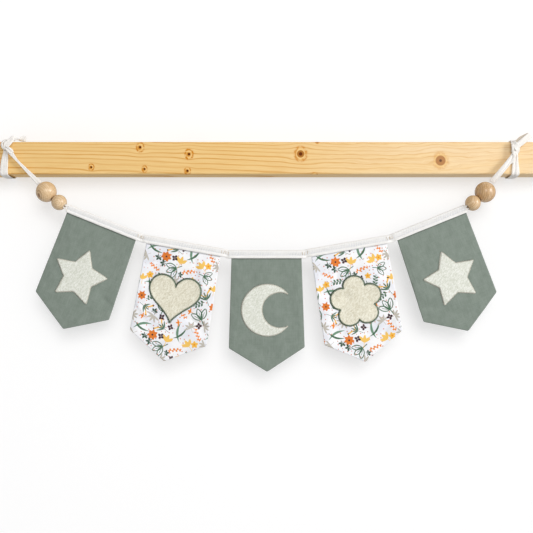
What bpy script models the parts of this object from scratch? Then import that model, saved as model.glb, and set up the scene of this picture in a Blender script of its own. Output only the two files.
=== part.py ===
"""Fabric bunting tied to a wooden rail.

Five five-sided cotton pennants hang from one length of folded cotton tape. The tape is
the binding over their top edges, runs through a small and a large wooden bead at each
side, goes round the rail and ends in a knot with a short free tail.

Units are metres, +Z is up, the front faces -Y. The origin is the centre of the rail's
back face. Tables are in millimetres and are scaled by MM.
"""
import math
from collections import namedtuple

import bmesh
import bpy
from mathutils import Matrix, Vector

MM = 0.001

# Driving dimensions, millimetres ------------------------------------------------------
GAP = 0.3                 # between two pieces that touch

RAIL_LENGTH = 660.0
RAIL_HEIGHT = 38.0
RAIL_DEPTH = 38.0
RAIL_EDGE = 2.0           # radius of the eased edges

CLOTH_Y = -46.0           # plane in which the pennants hang
CLOTH_THICK = 1.6         # two layers of cotton, turned and pressed
CLOTH_CORNER = 2.2        # rounding of the turned corners
TUCK = 7.8                # height of a pennant inside the binding
FOLD_START = 16.0         # the folds fade in over this height below the binding
CLOTH_COLUMNS = 16
CLOTH_ROWS = 20

FELT_THICK = 1.2

TAPE_WIDTH = 9.4
TAPE_THICK = 1.4          # the two leaves pressed together
LEAF = 1.0                # one leaf where the binding opens over a pennant
TIE_CLEAR = 0.5           # between the tape and the faces of the rail
BORE_WIDTH = 4.0          # the tape gathered in a bead's bore
BORE_THICK = 3.6

BORE_RADIUS = 2.9
BORE_MOUTH = 0.8          # countersink of a bore
BEAD_ARC_STEPS = 11
BEAD_TURN_STEPS = 24

# A pennant, seen from the front. mid_x and mid_z place the middle of its top line, which
# is the binding's lower edge, and tilt turns it. Corners are (across, drop) from there.
Pennant = namedtuple("Pennant", "name cloth mid_x mid_z tilt half_top right tip left bow swing")
PENNANTS = (
    Pennant("pennant_sage_left", "sage", -191.6, -80.4, -21.9, 43.1,
            (48.3, 97.8), (3.1, 127.4), (-43.2, 98.7), 1.2, -1.5),
    Pennant("pennant_print_left", "print", -96.4, -107.7, -10.1, 43.7,
            (46.1, 105.1), (0.4, 131.2), (-44.6, 102.0), -0.8, 1.0),
    Pennant("pennant_sage_middle", "sage", 0.0, -117.6, 0.0, 40.7,
            (44.4, 103.2), (0.8, 131.8), (-43.8, 104.4), 1.0, -1.0),
    Pennant("pennant_print_right", "print", 95.8, -108.0, 9.9, 44.5,
            (44.6, 102.2), (-3.6, 130.9), (-47.1, 103.5), -1.2, 1.2),
    Pennant("pennant_sage_right", "sage", 191.8, -80.6, 21.9, 43.1,
            (42.0, 98.8), (-5.6, 128.6), (-49.8, 99.4), 0.8, -1.8),
)

# The soft folds of each pennant: a line from (x0, drop0) to (x1, drop1) across the cloth,
# the half width of the fold and how far it stands towards the viewer.
Fold = namedtuple("Fold", "x0 drop0 x1 drop1 half rise")
FOLDS = {
    "pennant_sage_left": (
        Fold(-26, 8, -36, 92, 11, 0.9), Fold(20, 12, 38, 84, 10, -0.8),
        Fold(30, 76, 47, 84, 6, -0.8), Fold(-8, 104, 14, 112, 9, 0.7)),
    "pennant_print_left": (
        Fold(-20, 10, -34, 40, 6, -1.0), Fold(24, 16, 40, 62, 9, 0.9),
        Fold(12, 72, 43, 92, 7, -1.1), Fold(-30, 60, -38, 98, 8, 0.9)),
    "pennant_sage_middle": (
        Fold(-30, 14, -37, 96, 8, 0.8), Fold(16, 20, 28, 60, 9, -0.6),
        Fold(34, 22, 38, 98, 6, 0.6), Fold(-16, 104, 10, 118, 8, -0.6)),
    "pennant_print_right": (
        Fold(-38, 42, -14, 52, 6, -1.0), Fold(18, 72, 42, 64, 6, -1.0),
        Fold(-36, 64, -42, 98, 8, 0.9), Fold(14, 18, 30, 46, 9, 0.8)),
    "pennant_sage_right": (
        Fold(-47, 82, -22, 90, 6, -1.2), Fold(-34, 20, -42, 74, 9, 0.9),
        Fold(18, 56, 37, 62, 7, -0.8), Fold(4, 102, 20, 112, 8, 0.7)),
}

# A felt motif on each pennant: its centre (across, drop) and its size across.
Motif = namedtuple("Motif", "name outline pennant across drop size")
MOTIFS = (
    Motif("applique_star_left", "star", 0, -2.0, 64.0, 66.0),
    Motif("applique_heart", "heart", 1, -1.0, 59.0, 60.0),
    Motif("applique_moon", "moon", 2, 1.0, 60.0, 60.0),
    Motif("applique_blossom", "blossom", 3, -2.0, 60.0, 60.0),
    Motif("applique_star_right", "star", 4, -1.0, 64.0, 66.0),
)

# The beads. The axis points along the bore, from the knot towards the binding.
Bead = namedtuple("Bead", "name centre radius axis")
BEAD_LEFT_LARGE = Bead("bead_left_large", (-256.4, -42.5, -40.1), 12.0, (0.72, -0.14, -0.68))
BEAD_LEFT_SMALL = Bead("bead_left_small", (-240.6, -46.0, -52.7), 9.0, (0.79, -0.12, -0.60))
BEAD_RIGHT_LARGE = Bead("bead_right_large", (254.6, -42.5, -40.4), 12.0, (-0.68, -0.14, -0.72))
BEAD_RIGHT_SMALL = Bead("bead_right_small", (239.4, -46.3, -53.4), 9.0, (-0.78, -0.12, -0.61))

# The directions that the outer face of the tape looks in.
FRONT = Vector((0.0, -1.0, 0.0))
UNDER = Vector((0.0, 0.0, -1.0))

# One section across the tape: its middle, its size and the way its outer face looks.
Section = namedtuple("Section", "x y z width thick face")

# The hoop that each tie makes round the rail: x at the four edges that it passes, in the
# order front-under, back-under, back-over, front-over, and how far it sags underneath.
Hoop = namedtuple("Hoop", "edge_x sag front")
HOOP_LEFT = Hoop((-306.8, -308.4, -306.4, -304.2), 1.0, (
    Section(-304.2, -39.4, 11.6, 4.8, 1.4, FRONT),
    Section(-304.9, -39.1, 5.0, 6.2, 1.2, FRONT),
    Section(-306.2, -39.1, -6.0, 8.6, 1.2, FRONT)))
HOOP_RIGHT = Hoop((291.0, 293.8, 292.4, 290.0), 1.0, (
    Section(290.4, -39.4, 11.6, 7.4, 1.4, FRONT),
    Section(290.6, -39.1, 3.0, 7.4, 1.2, FRONT),
    Section(291.0, -39.1, -8.0, 8.6, 1.2, FRONT)))

# The lead of each tie, from the rail's upper front edge over the knot to the large bead.
LEAD_LEFT = (
    Section(-303.9, -41.6, 13.2, 6.0, 1.4, FRONT),
    Section(-302.8, -42.2, 10.4, 5.2, 1.4, FRONT),
    Section(-297.8, -42.2, 5.0, 5.6, 1.4, FRONT),
    Section(-291.4, -42.0, -2.6, 4.4, 1.4, FRONT),
    Section(-282.0, -42.0, -13.0, 5.6, 1.4, FRONT),
    Section(-273.0, -42.0, -22.4, 6.4, 1.4, FRONT),
    Section(-267.4, -41.6, -28.4, 6.8, 1.6, FRONT),
)
LEAD_RIGHT = (
    Section(290.0, -41.6, 13.2, 7.2, 1.4, FRONT),
    Section(290.0, -42.4, 7.6, 7.6, 1.4, FRONT),
    Section(286.6, -42.6, 0.6, 8.8, 1.4, FRONT),
    Section(280.9, -42.6, -5.6, 9.2, 1.4, FRONT),
    Section(272.4, -42.4, -15.0, 9.2, 1.4, FRONT),
    Section(266.4, -42.0, -22.4, 8.6, 1.4, FRONT),
    Section(263.8, -41.6, -27.4, 7.2, 1.8, FRONT),
)

# The turn that closes each knot, and the free tail that comes out of it.
WRAP_LEFT = (
    Section(-306.6, -39.6, 10.2, 3.2, 1.6, Vector((-1.0, -0.3, 0.0))),
    Section(-306.2, -42.2, 10.8, 3.6, 1.6, Vector((-1.0, -1.0, 0.0))),
    Section(-304.0, -43.4, 11.4, 4.0, 1.6, FRONT),
    Section(-301.8, -42.4, 12.4, 3.6, 1.6, Vector((1.0, -1.0, 0.0))),
    Section(-301.4, -39.8, 13.0, 3.2, 1.6, Vector((1.0, -0.3, 0.0))),
)
TAIL_LEFT = (
    Section(-303.4, -40.8, 12.6, 5.0, 1.8, FRONT),
    Section(-300.6, -41.2, 17.4, 6.6, 1.6, FRONT),
    Section(-298.6, -39.0, 21.4, 6.8, 1.4, Vector((-0.2, -1.0, 0.5))),
    Section(-296.0, -36.8, 23.2, 7.2, 1.3, Vector((0.1, -1.0, 0.1))),
    Section(-292.6, -36.0, 22.2, 6.4, 1.3, Vector((0.2, -0.5, 1.0))),
    Section(-289.2, -35.6, 22.2, 6.4, 1.3, Vector((0.0, 0.4, 1.0))),
    Section(-285.8, -35.4, 23.1, 7.0, 1.3, Vector((-0.1, 1.0, 0.3))),
    Section(-282.0, -35.2, 22.8, 6.2, 1.3, Vector((-0.2, 1.0, 0.1))),
)
WRAP_RIGHT = (
    Section(294.2, -39.6, 9.0, 3.8, 1.6, Vector((1.0, -0.3, 0.0))),
    Section(293.8, -42.4, 10.2, 4.4, 1.6, Vector((1.0, -1.0, 0.0))),
    Section(290.8, -43.8, 13.0, 5.0, 1.6, FRONT),
    Section(287.4, -43.0, 15.8, 4.4, 1.6, Vector((-1.0, -1.2, 0.2))),
    Section(286.6, -40.2, 17.0, 3.8, 1.6, Vector((-1.0, -0.3, 0.0))),
)
TAIL_RIGHT = (
    Section(289.6, -40.8, 11.0, 6.4, 1.8, FRONT),
    Section(293.4, -41.8, 14.6, 7.8, 1.8, FRONT),
    Section(299.0, -42.0, 19.4, 7.8, 1.8, Vector((0.1, -1.0, 0.1))),
    Section(304.0, -41.2, 23.4, 7.2, 1.7, Vector((0.1, -1.0, 0.2))),
    Section(308.8, -40.2, 27.0, 6.6, 1.6, Vector((0.1, -1.0, 0.2))),
)

# Half of the tape's section, as shares of half its width and half its thickness.
SECTION_HALF = ((1.0, 0.45), (0.86, 1.0), (0.3, 1.0), (-0.3, 1.0), (-0.86, 1.0), (-1.0, 0.45))

# Colour, roughness.
FINISHES = {
    "rail": ((0.800, 0.540, 0.240), 0.55),
    "bead": ((0.680, 0.480, 0.290), 0.45),
    "tape": ((0.860, 0.850, 0.820), 0.90),
    "sage": ((0.215, 0.255, 0.212), 0.95),
    "print": ((0.880, 0.880, 0.880), 0.90),
    "felt": ((0.760, 0.760, 0.690), 1.00),
}


def finish(name):
    """The material of that name, made once."""
    known = bpy.data.materials.get(name)
    if known:
        return known
    colour, roughness = FINISHES[name]
    material = bpy.data.materials.new(name)
    material.use_nodes = True
    shader = material.node_tree.nodes["Principled BSDF"]
    shader.inputs["Base Color"].default_value = (*colour, 1.0)
    shader.inputs["Roughness"].default_value = roughness
    shader.inputs["Metallic"].default_value = 0.0
    return material


def add_object(name, bm, finish_name=None, place=None):
    """A new object from a bmesh; without a finish it is a cutter or a tool shape."""
    mesh = bpy.data.meshes.new(name)
    bm.to_mesh(mesh)
    bm.free()
    mesh.shade_smooth()
    mesh.set_sharp_from_angle(angle=math.radians(35.0))
    piece = bpy.data.objects.new(name, mesh)
    bpy.context.scene.collection.objects.link(piece)
    if place is not None:
        piece.matrix_world = place
    if finish_name:
        mesh.materials.append(finish(finish_name))
    else:
        piece.hide_render = True
        piece.display_type = "WIRE"
    return piece


def boolean(piece, tool, operation):
    """A live Boolean of one piece with a tool shape."""
    modifier = piece.modifiers.new(f"{operation.lower()} {tool.name}", "BOOLEAN")
    modifier.operation = operation
    modifier.solver = "EXACT"
    modifier.object = tool


def thicken(piece, thickness):
    """Give a sheet its thickness, half to each side."""
    modifier = piece.modifiers.new("thickness", "SOLIDIFY")
    modifier.thickness = thickness * MM
    modifier.offset = 0.0
    modifier.use_even_offset = True


# Rail ----------------------------------------------------------------------------------
def make_rail():
    bm = bmesh.new()
    size = Matrix.Diagonal((RAIL_LENGTH * MM, RAIL_DEPTH * MM, RAIL_HEIGHT * MM, 1.0))
    middle = Matrix.Translation((0.0, -RAIL_DEPTH * MM / 2.0, 0.0))
    bmesh.ops.create_cube(bm, size=1.0, matrix=middle @ size)
    rail = add_object("rail", bm, "rail")
    edges = rail.modifiers.new("eased edges", "BEVEL")
    edges.width = RAIL_EDGE * MM
    edges.segments = 3


# Beads ---------------------------------------------------------------------------------
def make_bead(bead):
    """A ball with a countersunk bore, turned about its own Z and laid along its axis."""
    mouth = BORE_RADIUS + BORE_MOUTH
    mouth_angle = math.acos(mouth / bead.radius)
    bore_end = bead.radius * math.sin(mouth_angle) - BORE_MOUTH
    profile = [(BORE_RADIUS, -bore_end), (BORE_RADIUS, bore_end)]
    for step in range(BEAD_ARC_STEPS + 1):
        angle = mouth_angle * (1.0 - 2.0 * step / BEAD_ARC_STEPS)
        profile.append((bead.radius * math.cos(angle), bead.radius * math.sin(angle)))
    bm = bmesh.new()
    points = [bm.verts.new((r * MM, 0.0, z * MM)) for r, z in profile]
    outline = [bm.edges.new((a, b)) for a, b in zip(points, points[1:] + points[:1])]
    bmesh.ops.spin(bm, geom=points + outline, cent=(0, 0, 0), axis=(0, 0, 1),
                   angle=math.tau, steps=BEAD_TURN_STEPS, use_merge=True)
    bmesh.ops.recalc_face_normals(bm, faces=bm.faces)
    turn = Vector(bead.axis).to_track_quat("Z", "Y").to_matrix().to_4x4()
    add_object(bead.name, bm, "bead", Matrix.Translation(Vector(bead.centre) * MM) @ turn)


# Pennants ------------------------------------------------------------------------------
def smooth_step(value):
    value = min(max(value, 0.0), 1.0)
    return value * value * (3.0 - 2.0 * value)


def stand_off(pennant, x, drop):
    """How far the cloth stands towards the viewer there: bow, swing and folds."""
    depth = pennant.swing * (drop / pennant.tip[1]) ** 2
    depth -= pennant.bow * (x / pennant.half_top) ** 2
    for fold in FOLDS[pennant.name]:
        run_x, run_drop = fold.x1 - fold.x0, fold.drop1 - fold.drop0
        along = ((x - fold.x0) * run_x + (drop - fold.drop0) * run_drop)
        along = min(max(along / (run_x ** 2 + run_drop ** 2), 0.0), 1.0)
        away = math.hypot(x - fold.x0 - along * run_x, drop - fold.drop0 - along * run_drop)
        depth += fold.rise * math.exp(-(away / fold.half) ** 2)
    return depth * smooth_step(drop / FOLD_START)


def pennant_point(pennant, across, down):
    """(x, drop) on the flat cut; across runs -1 to 1 and down 0 to 1."""
    shoulder = pennant.right if across > 0.0 else pennant.left
    side = abs(across)
    foot_x = pennant.tip[0] * (1.0 - side) + shoulder[0] * side
    foot_drop = pennant.tip[1] * (1.0 - side) + shoulder[1] * side
    return pennant.half_top * across * (1.0 - down) + foot_x * down, foot_drop * down


def pennant_sheet(pennant, lift, tucked):
    """The middle surface of the cloth, lifted along its normals by so many millimetres."""
    bm = bmesh.new()
    bmesh.ops.create_grid(bm, x_segments=CLOTH_COLUMNS, y_segments=CLOTH_ROWS, size=0.5)
    for vertex in bm.verts:
        across, down = 2.0 * vertex.co.x, 0.5 - vertex.co.y
        x, drop = pennant_point(pennant, across, down)
        vertex.co = (x * MM, 0.0, -drop * MM)
    if tucked:
        top = [edge for edge in bm.edges if all(abs(v.co.z) < 1e-7 for v in edge.verts)]
        grown = bmesh.ops.extrude_edge_only(bm, edges=top)["geom"]
        verts = [item for item in grown if isinstance(item, bmesh.types.BMVert)]
        bmesh.ops.translate(bm, verts=verts, vec=(0.0, 0.0, TUCK * MM))
    bmesh.ops.recalc_face_normals(bm, faces=bm.faces)
    corners = [v for v in bm.verts if v.is_boundary and is_turned_corner(pennant, v)]
    bmesh.ops.bevel(bm, geom=corners, offset=CLOTH_CORNER * MM, segments=2, profile=0.5,
                    affect="VERTICES", material=-1)
    for vertex in bm.verts:
        vertex.co.y = -stand_off(pennant, vertex.co.x / MM, -vertex.co.z / MM) * MM
    bm.normal_update()
    if sum(face.normal.y for face in bm.faces) > 0.0:
        bmesh.ops.reverse_faces(bm, faces=bm.faces)
        bm.normal_update()
    for vertex in bm.verts:
        vertex.co += vertex.normal * lift * MM
    return bm


def is_turned_corner(pennant, vertex):
    """True at the two shoulders and at the tip."""
    for across, drop in (pennant.right, pennant.tip, pennant.left):
        if abs(vertex.co.x - across * MM) < 1e-6 and abs(vertex.co.z + drop * MM) < 1e-6:
            return True
    return False


def pennant_place(pennant):
    turn = Matrix.Rotation(math.radians(-pennant.tilt), 4, "Y")
    return Matrix.Translation((pennant.mid_x * MM, CLOTH_Y * MM, pennant.mid_z * MM)) @ turn


def make_pennant(pennant):
    sheet = pennant_sheet(pennant, 0.0, True)
    cloth = add_object(pennant.name, sheet, pennant.cloth, pennant_place(pennant))
    thicken(cloth, CLOTH_THICK)


# Felt motifs ---------------------------------------------------------------------------
def star_outline():
    """Five blunt points, as shares of the size."""
    points = []
    for step in range(10):
        reach = 0.5 if step % 2 == 0 else 0.27
        angle = math.radians(90.0 + 36.0 * step)
        points.append((reach * math.cos(angle), reach * math.sin(angle)))
    return points


def heart_outline():
    points = []
    for step in range(36):
        angle = math.tau * step / 36
        x = 16.0 * math.sin(angle) ** 3
        z = 13.0 * math.cos(angle) - 5.0 * math.cos(2 * angle) - 2.0 * math.cos(3 * angle)
        points.append((x / 32.0, (z - math.cos(4 * angle) + 2.5) / 32.0))
    return points


def moon_outline():
    """A waxing moon: a large arc outside and a smaller one inside."""
    outer, shift, opening = 0.5, 0.24, math.radians(38.0)
    points = []
    for step in range(25):
        angle = opening + (math.tau - 2 * opening) * step / 24
        points.append((outer * math.cos(angle), outer * math.sin(angle)))
    horn = Vector(points[-1]) - Vector((shift, 0.0))
    start = math.atan2(horn.y, horn.x) % math.tau
    for step in range(1, 16):
        angle = start + (math.tau - 2.0 * start) * step / 16
        points.append((shift + horn.length * math.cos(angle), horn.length * math.sin(angle)))
    return points


def blossom_outline():
    """Five round petals."""
    points = []
    for step in range(50):
        angle = math.tau * step / 50
        petal = abs(math.cos(2.5 * (angle - math.pi / 2))) ** 0.7
        reach = 0.5 * (0.68 + 0.32 * petal)
        points.append((reach * math.cos(angle), reach * math.sin(angle)))
    return points


OUTLINES = {"star": star_outline, "heart": heart_outline, "moon": moon_outline,
            "blossom": blossom_outline}


def make_motif(motif):
    """Felt of even thickness that follows the cloth, cut to the motif's outline."""
    pennant = PENNANTS[motif.pennant]
    place = pennant_place(pennant)
    lift = CLOTH_THICK / 2.0 + GAP + FELT_THICK / 2.0
    felt = add_object(motif.name, pennant_sheet(pennant, lift, False), "felt", place)
    thicken(felt, FELT_THICK)
    bm = bmesh.new()
    reach = 20.0 * MM
    points = [bm.verts.new(((motif.across + x * motif.size) * MM, -reach,
                            (z * motif.size - motif.drop) * MM))
              for x, z in OUTLINES[motif.outline]()]
    face = bm.faces.new(points)
    back = bmesh.ops.extrude_face_region(bm, geom=[face])["geom"]
    verts = [item for item in back if isinstance(item, bmesh.types.BMVert)]
    bmesh.ops.translate(bm, verts=verts, vec=(0.0, 2.0 * reach, 0.0))
    bmesh.ops.recalc_face_normals(bm, faces=bm.faces)
    boolean(felt, add_object(f"cut_{motif.outline}_{motif.pennant}", bm, None, place),
            "INTERSECT")


# Tape ----------------------------------------------------------------------------------
def hoop_sections(hoop):
    """From the knot down the front of the rail, under it, up behind it and over it."""
    bend = RAIL_EDGE + TIE_CLEAR + TAPE_THICK / 2.0
    low, high = -RAIL_HEIGHT / 2.0 + RAIL_EDGE, RAIL_HEIGHT / 2.0 - RAIL_EDGE
    front, back = -RAIL_DEPTH + RAIL_EDGE, -RAIL_EDGE
    edges = ((front, low, 180.0), (back, low, 270.0), (back, high, 0.0), (front, high, 90.0))
    sections = list(hoop.front)
    for x, (y, z, start) in zip(hoop.edge_x, edges):
        if start == 270.0:
            middle_x = (hoop.edge_x[0] + x) / 2.0
            sections.append(Section(middle_x, -RAIL_DEPTH / 2.0, low - bend - hoop.sag,
                                    TAPE_WIDTH, TAPE_THICK, UNDER))
        for turned in (0.0, 45.0, 90.0):
            angle = math.radians(start + turned)
            face = Vector((0.0, math.cos(angle), math.sin(angle)))
            sections.append(Section(x, y + bend * face.y, z + bend * face.z,
                                    TAPE_WIDTH, TAPE_THICK, face))
    return sections


def bead_sections(bead):
    """The tape gathered in a bore, just inside its two mouths."""
    axis = Vector(bead.axis).normalized()
    reach = bead.radius - BORE_MOUTH
    ends = (Vector(bead.centre) - axis * reach, Vector(bead.centre) + axis * reach)
    return [Section(*point, BORE_WIDTH, BORE_THICK, FRONT) for point in ends]


def binding_sections():
    """The binding along the top lines of the pennants, opened over each of them."""
    open_thick = CLOTH_THICK + 2.0 * (GAP + LEAF)
    shut = 2.5
    sections = []
    for pennant in PENNANTS:
        turn = math.radians(pennant.tilt)
        along = Vector((math.cos(turn), 0.0, math.sin(turn)))
        up = Vector((-math.sin(turn), 0.0, math.cos(turn)))
        middle = Vector((pennant.mid_x, CLOTH_Y, pennant.mid_z)) + up * TAPE_WIDTH / 2.0
        reach = pennant.half_top + GAP + LEAF
        for share, thick in ((-1.0, open_thick), (0.0, open_thick), (1.0, open_thick)):
            sections.append(Section(*(middle + along * reach * share), TAPE_WIDTH, thick, FRONT))
        if pennant is not PENNANTS[-1]:
            away = middle + along * (reach + shut)
            sections.append(Section(*away, TAPE_WIDTH, 2.0 * LEAF + GAP, FRONT))
    return sections


def tape_ring(bm, section, along):
    """One closed ring of vertices across the tape."""
    face = section.face - along * section.face.dot(along)
    face.normalize()
    across = along.cross(face)
    middle = Vector((section.x, section.y, section.z))
    outline = [(w, t) for w, t in SECTION_HALF] + [(w, -t) for w, t in reversed(SECTION_HALF)]
    ring = []
    for w, t in outline:
        offset = across * (w * section.width / 2.0) + face * (t * section.thick / 2.0)
        ring.append(bm.verts.new((middle + offset) * MM))
    return ring


def tape_mesh(sections):
    """A closed band through the sections."""
    bm = bmesh.new()
    middles = [Vector((s.x, s.y, s.z)) for s in sections]
    rings = []
    for index, section in enumerate(sections):
        before = middles[max(index - 1, 0)]
        after = middles[min(index + 1, len(middles) - 1)]
        rings.append(tape_ring(bm, section, (after - before).normalized()))
    loops = [[bm.edges.new(pair) for pair in zip(ring, ring[1:] + ring[:1])] for ring in rings]
    for first, second in zip(loops, loops[1:]):
        bmesh.ops.bridge_loops(bm, edges=first + second)
    bm.faces.new(rings[0])
    bm.faces.new(rings[-1])
    bmesh.ops.recalc_face_normals(bm, faces=bm.faces)
    return bm


def slot_tool(pennant):
    """The room that a pennant's top takes inside the binding."""
    bm = bmesh.new()
    below = 3.0
    height = TUCK + GAP + below
    size = Matrix.Diagonal((2.0 * (pennant.half_top + GAP) * MM, (CLOTH_THICK + 2.0 * GAP) * MM,
                            height * MM, 1.0))
    middle = Matrix.Translation((0.0, 0.0, (height / 2.0 - below) * MM))
    bmesh.ops.create_cube(bm, size=1.0, matrix=middle @ size)
    return add_object(f"slot_{pennant.name}", bm, None, pennant_place(pennant))


def make_tape():
    sections = hoop_sections(HOOP_LEFT) + list(LEAD_LEFT)
    sections += bead_sections(BEAD_LEFT_LARGE) + bead_sections(BEAD_LEFT_SMALL)
    sections += binding_sections()
    right = hoop_sections(HOOP_RIGHT) + list(LEAD_RIGHT)
    right += bead_sections(BEAD_RIGHT_LARGE) + bead_sections(BEAD_RIGHT_SMALL)
    sections += reversed(right)
    tape = add_object("tape", tape_mesh(sections), "tape")
    for name, rows in (("wrap_left", WRAP_LEFT), ("tail_left", TAIL_LEFT),
                       ("wrap_right", WRAP_RIGHT), ("tail_right", TAIL_RIGHT)):
        boolean(tape, add_object(name, tape_mesh(rows)), "UNION")
    for pennant in PENNANTS:
        boolean(tape, slot_tool(pennant), "DIFFERENCE")


def main():
    for piece in list(bpy.data.objects):
        bpy.data.objects.remove(piece, do_unlink=True)
    make_rail()
    for bead in (BEAD_LEFT_LARGE, BEAD_LEFT_SMALL, BEAD_RIGHT_LARGE, BEAD_RIGHT_SMALL):
        make_bead(bead)
    for pennant in PENNANTS:
        make_pennant(pennant)
    for motif in MOTIFS:
        make_motif(motif)
    make_tape()


main()
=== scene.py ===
"""Looks of a fabric bunting that is tied to a wooden rail.

Everything is in metres in the frame's own axes: +X to the viewer's right, -Y towards the
viewer, +Z up, and the origin at the centre of the rail's back face. Tables are in
millimetres and are scaled by MM. A colour of three numbers is read off a screen, 0 to 255.
"""
import math
import random
from bisect import bisect
from collections import namedtuple

import bmesh
import bpy
from mathutils import Matrix, Vector, kdtree, noise


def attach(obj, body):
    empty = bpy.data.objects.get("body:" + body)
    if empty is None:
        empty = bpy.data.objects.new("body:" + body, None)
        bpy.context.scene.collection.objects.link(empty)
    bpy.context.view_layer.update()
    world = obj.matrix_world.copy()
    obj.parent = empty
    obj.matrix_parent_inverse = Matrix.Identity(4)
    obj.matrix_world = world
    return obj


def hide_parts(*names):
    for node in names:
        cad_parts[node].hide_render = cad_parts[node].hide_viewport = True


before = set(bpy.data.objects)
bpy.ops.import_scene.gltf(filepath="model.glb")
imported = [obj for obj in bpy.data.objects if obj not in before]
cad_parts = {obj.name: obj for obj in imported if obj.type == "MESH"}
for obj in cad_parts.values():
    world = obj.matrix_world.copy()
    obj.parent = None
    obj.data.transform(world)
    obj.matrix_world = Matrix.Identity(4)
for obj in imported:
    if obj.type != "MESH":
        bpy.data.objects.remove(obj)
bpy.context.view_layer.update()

MM = 0.001
FRONT = Vector((0.0, -1.0, 0.0))

# ---- Sizes and tables
CLOTH_Y = -46.0           # plane in which the pennants hang
CLOTH_HALF = 0.8          # half the thickness of a turned and pressed pennant
CLOTH_EDGE = 1.1          # the edge rounds off over this width
CLOTH_GRID = (104, 150)   # columns and rows of a pennant's mesh
FELT_GRID = (34, 220)     # a felt motif's, from its middle out and round it
MOON_GRID = (26, 150)     # across the moon and from horn to horn
CORNER_RADIUS = 2.4
ALLOWANCE = 6.4           # the turned seam shows as a faint step this far inside the edge
ALLOWANCE_RISE = 0.16
ALLOWANCE_STEP = 1.2      # over this width
SLACK = 0.22              # the two layers part a little away from the edges,
SLACK_REACH = 22.0        # in full from this far inside
TUCK = 7.2                # height of a pennant inside the binding
FOLD_START = 16.0         # the folds fade in over this height below the binding

FELT_FOOT = 0.12          # the felt's height over the cloth just at its rim
FELT_RISE = 1.3           # and further inside
FELT_EDGE = 1.5           # the width over which it rounds down
FELT_BACK = 0.05          # the height of its back
FELT_SEAM = 0.10          # and of the line where its front and back meet

TAPE_WIDTH = 9.4
TAPE_THICK = 1.4
TAPE_LEAF = 0.4
TIE_CLEAR = 0.5
STRIP_COLUMNS = 28        # points round a length of tape
STRIP_STEP = 0.6          # and the distance between two rows along it
LEAST_CUT = 10.0          # the smallest side that a cut is given
RAIL_EDGE = 2.0
RAIL_HALF = 19.0          # half the rail's height and depth

# A pennant, seen from the front. mid_x and mid_z place the middle of its top line, which
# is the binding's lower edge, and tilt turns it. Corners are (across, drop) from there.
Pennant = namedtuple("Pennant", "node cloth mid_x mid_z tilt half_top right tip left bow swing")
PENNANTS = (
    Pennant("pennant_sage_left", "sage", -191.6, -80.4, -21.9, 43.1,
            (48.3, 97.8), (3.1, 127.4), (-43.2, 98.7), 1.2, -1.5),
    Pennant("pennant_print_left", "print", -96.4, -107.7, -10.1, 43.7,
            (46.1, 105.1), (0.4, 131.2), (-44.6, 102.0), -0.8, 1.0),
    Pennant("pennant_sage_middle", "sage", 0.0, -117.6, 0.0, 40.7,
            (44.4, 103.2), (0.8, 131.8), (-43.8, 104.4), 1.0, -1.0),
    Pennant("pennant_print_right", "print", 95.8, -108.0, 9.9, 44.5,
            (44.6, 102.2), (-3.6, 130.9), (-47.1, 103.5), -1.2, 1.2),
    Pennant("pennant_sage_right", "sage", 191.8, -80.6, 21.9, 43.1,
            (42.0, 98.8), (-5.6, 128.6), (-49.8, 99.4), 0.8, -1.8),
)

# Folds and creases of each pennant: a line from (x0, drop0) to (x1, drop1) across the
# cloth, its half width and how far it stands towards the viewer. Broad folds come first.
FOLDS = {
    "pennant_sage_left": (
        (-26, 8, -36, 92, 11, 0.9), (20, 12, 38, 84, 10, -0.8), (30, 76, 47, 84, 6, -0.8),
        (-8, 104, 14, 112, 9, 0.7), (-34, 4, -30, 26, 3.0, 0.22), (12, 2, 9, 20, 2.6, -0.2),
        (34, 78, 48, 80, 2.2, -0.26), (-38, 58, -26, 70, 3.2, -0.18)),
    "pennant_print_left": (
        (-20, 10, -34, 40, 6, -1.5), (24, 16, 40, 62, 9, 1.3), (12, 72, 43, 92, 7, -1.6),
        (-30, 60, -38, 98, 8, 1.3), (-26, 18, -40, 24, 2.8, -1.0), (26, 80, 44, 84, 2.8, -1.1),
        (14, 4, 20, 24, 3.2, -0.9), (-40, 72, -28, 84, 2.8, 0.85)),
    "pennant_sage_middle": (
        (-30, 14, -37, 96, 8, 0.8), (16, 20, 28, 60, 9, -0.6), (34, 22, 38, 98, 6, 0.6),
        (-16, 104, 10, 118, 8, -0.6), (-40, 46, -33, 50, 2.6, -0.34),
        (35, 48, 40, 44, 2.4, -0.26), (-14, 6, -10, 24, 3.2, 0.18), (-2, 118, 8, 108, 2.6, -0.2)),
    "pennant_print_right": (
        (-38, 42, -14, 52, 6, -1.5), (18, 72, 42, 64, 6, -1.5), (-36, 64, -42, 98, 8, 1.3),
        (14, 18, 30, 46, 9, 1.2), (-40, 46, -26, 50, 2.6, -1.15), (22, 68, 40, 62, 2.6, -1.15),
        (24, 100, 34, 90, 3.0, -0.9), (-14, 8, -20, 30, 2.8, -0.8)),
    "pennant_sage_right": (
        (-47, 82, -22, 90, 6, -1.2), (-34, 20, -42, 74, 9, 0.9), (18, 56, 37, 62, 7, -0.8),
        (4, 102, 20, 112, 8, 0.7), (-47, 84, -28, 90, 2.4, -0.5), (-44, 90, -34, 96, 2.2, 0.3),
        (20, 4, 24, 26, 3.0, 0.2), (26, 84, 38, 88, 2.6, -0.22)),
}

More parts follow.
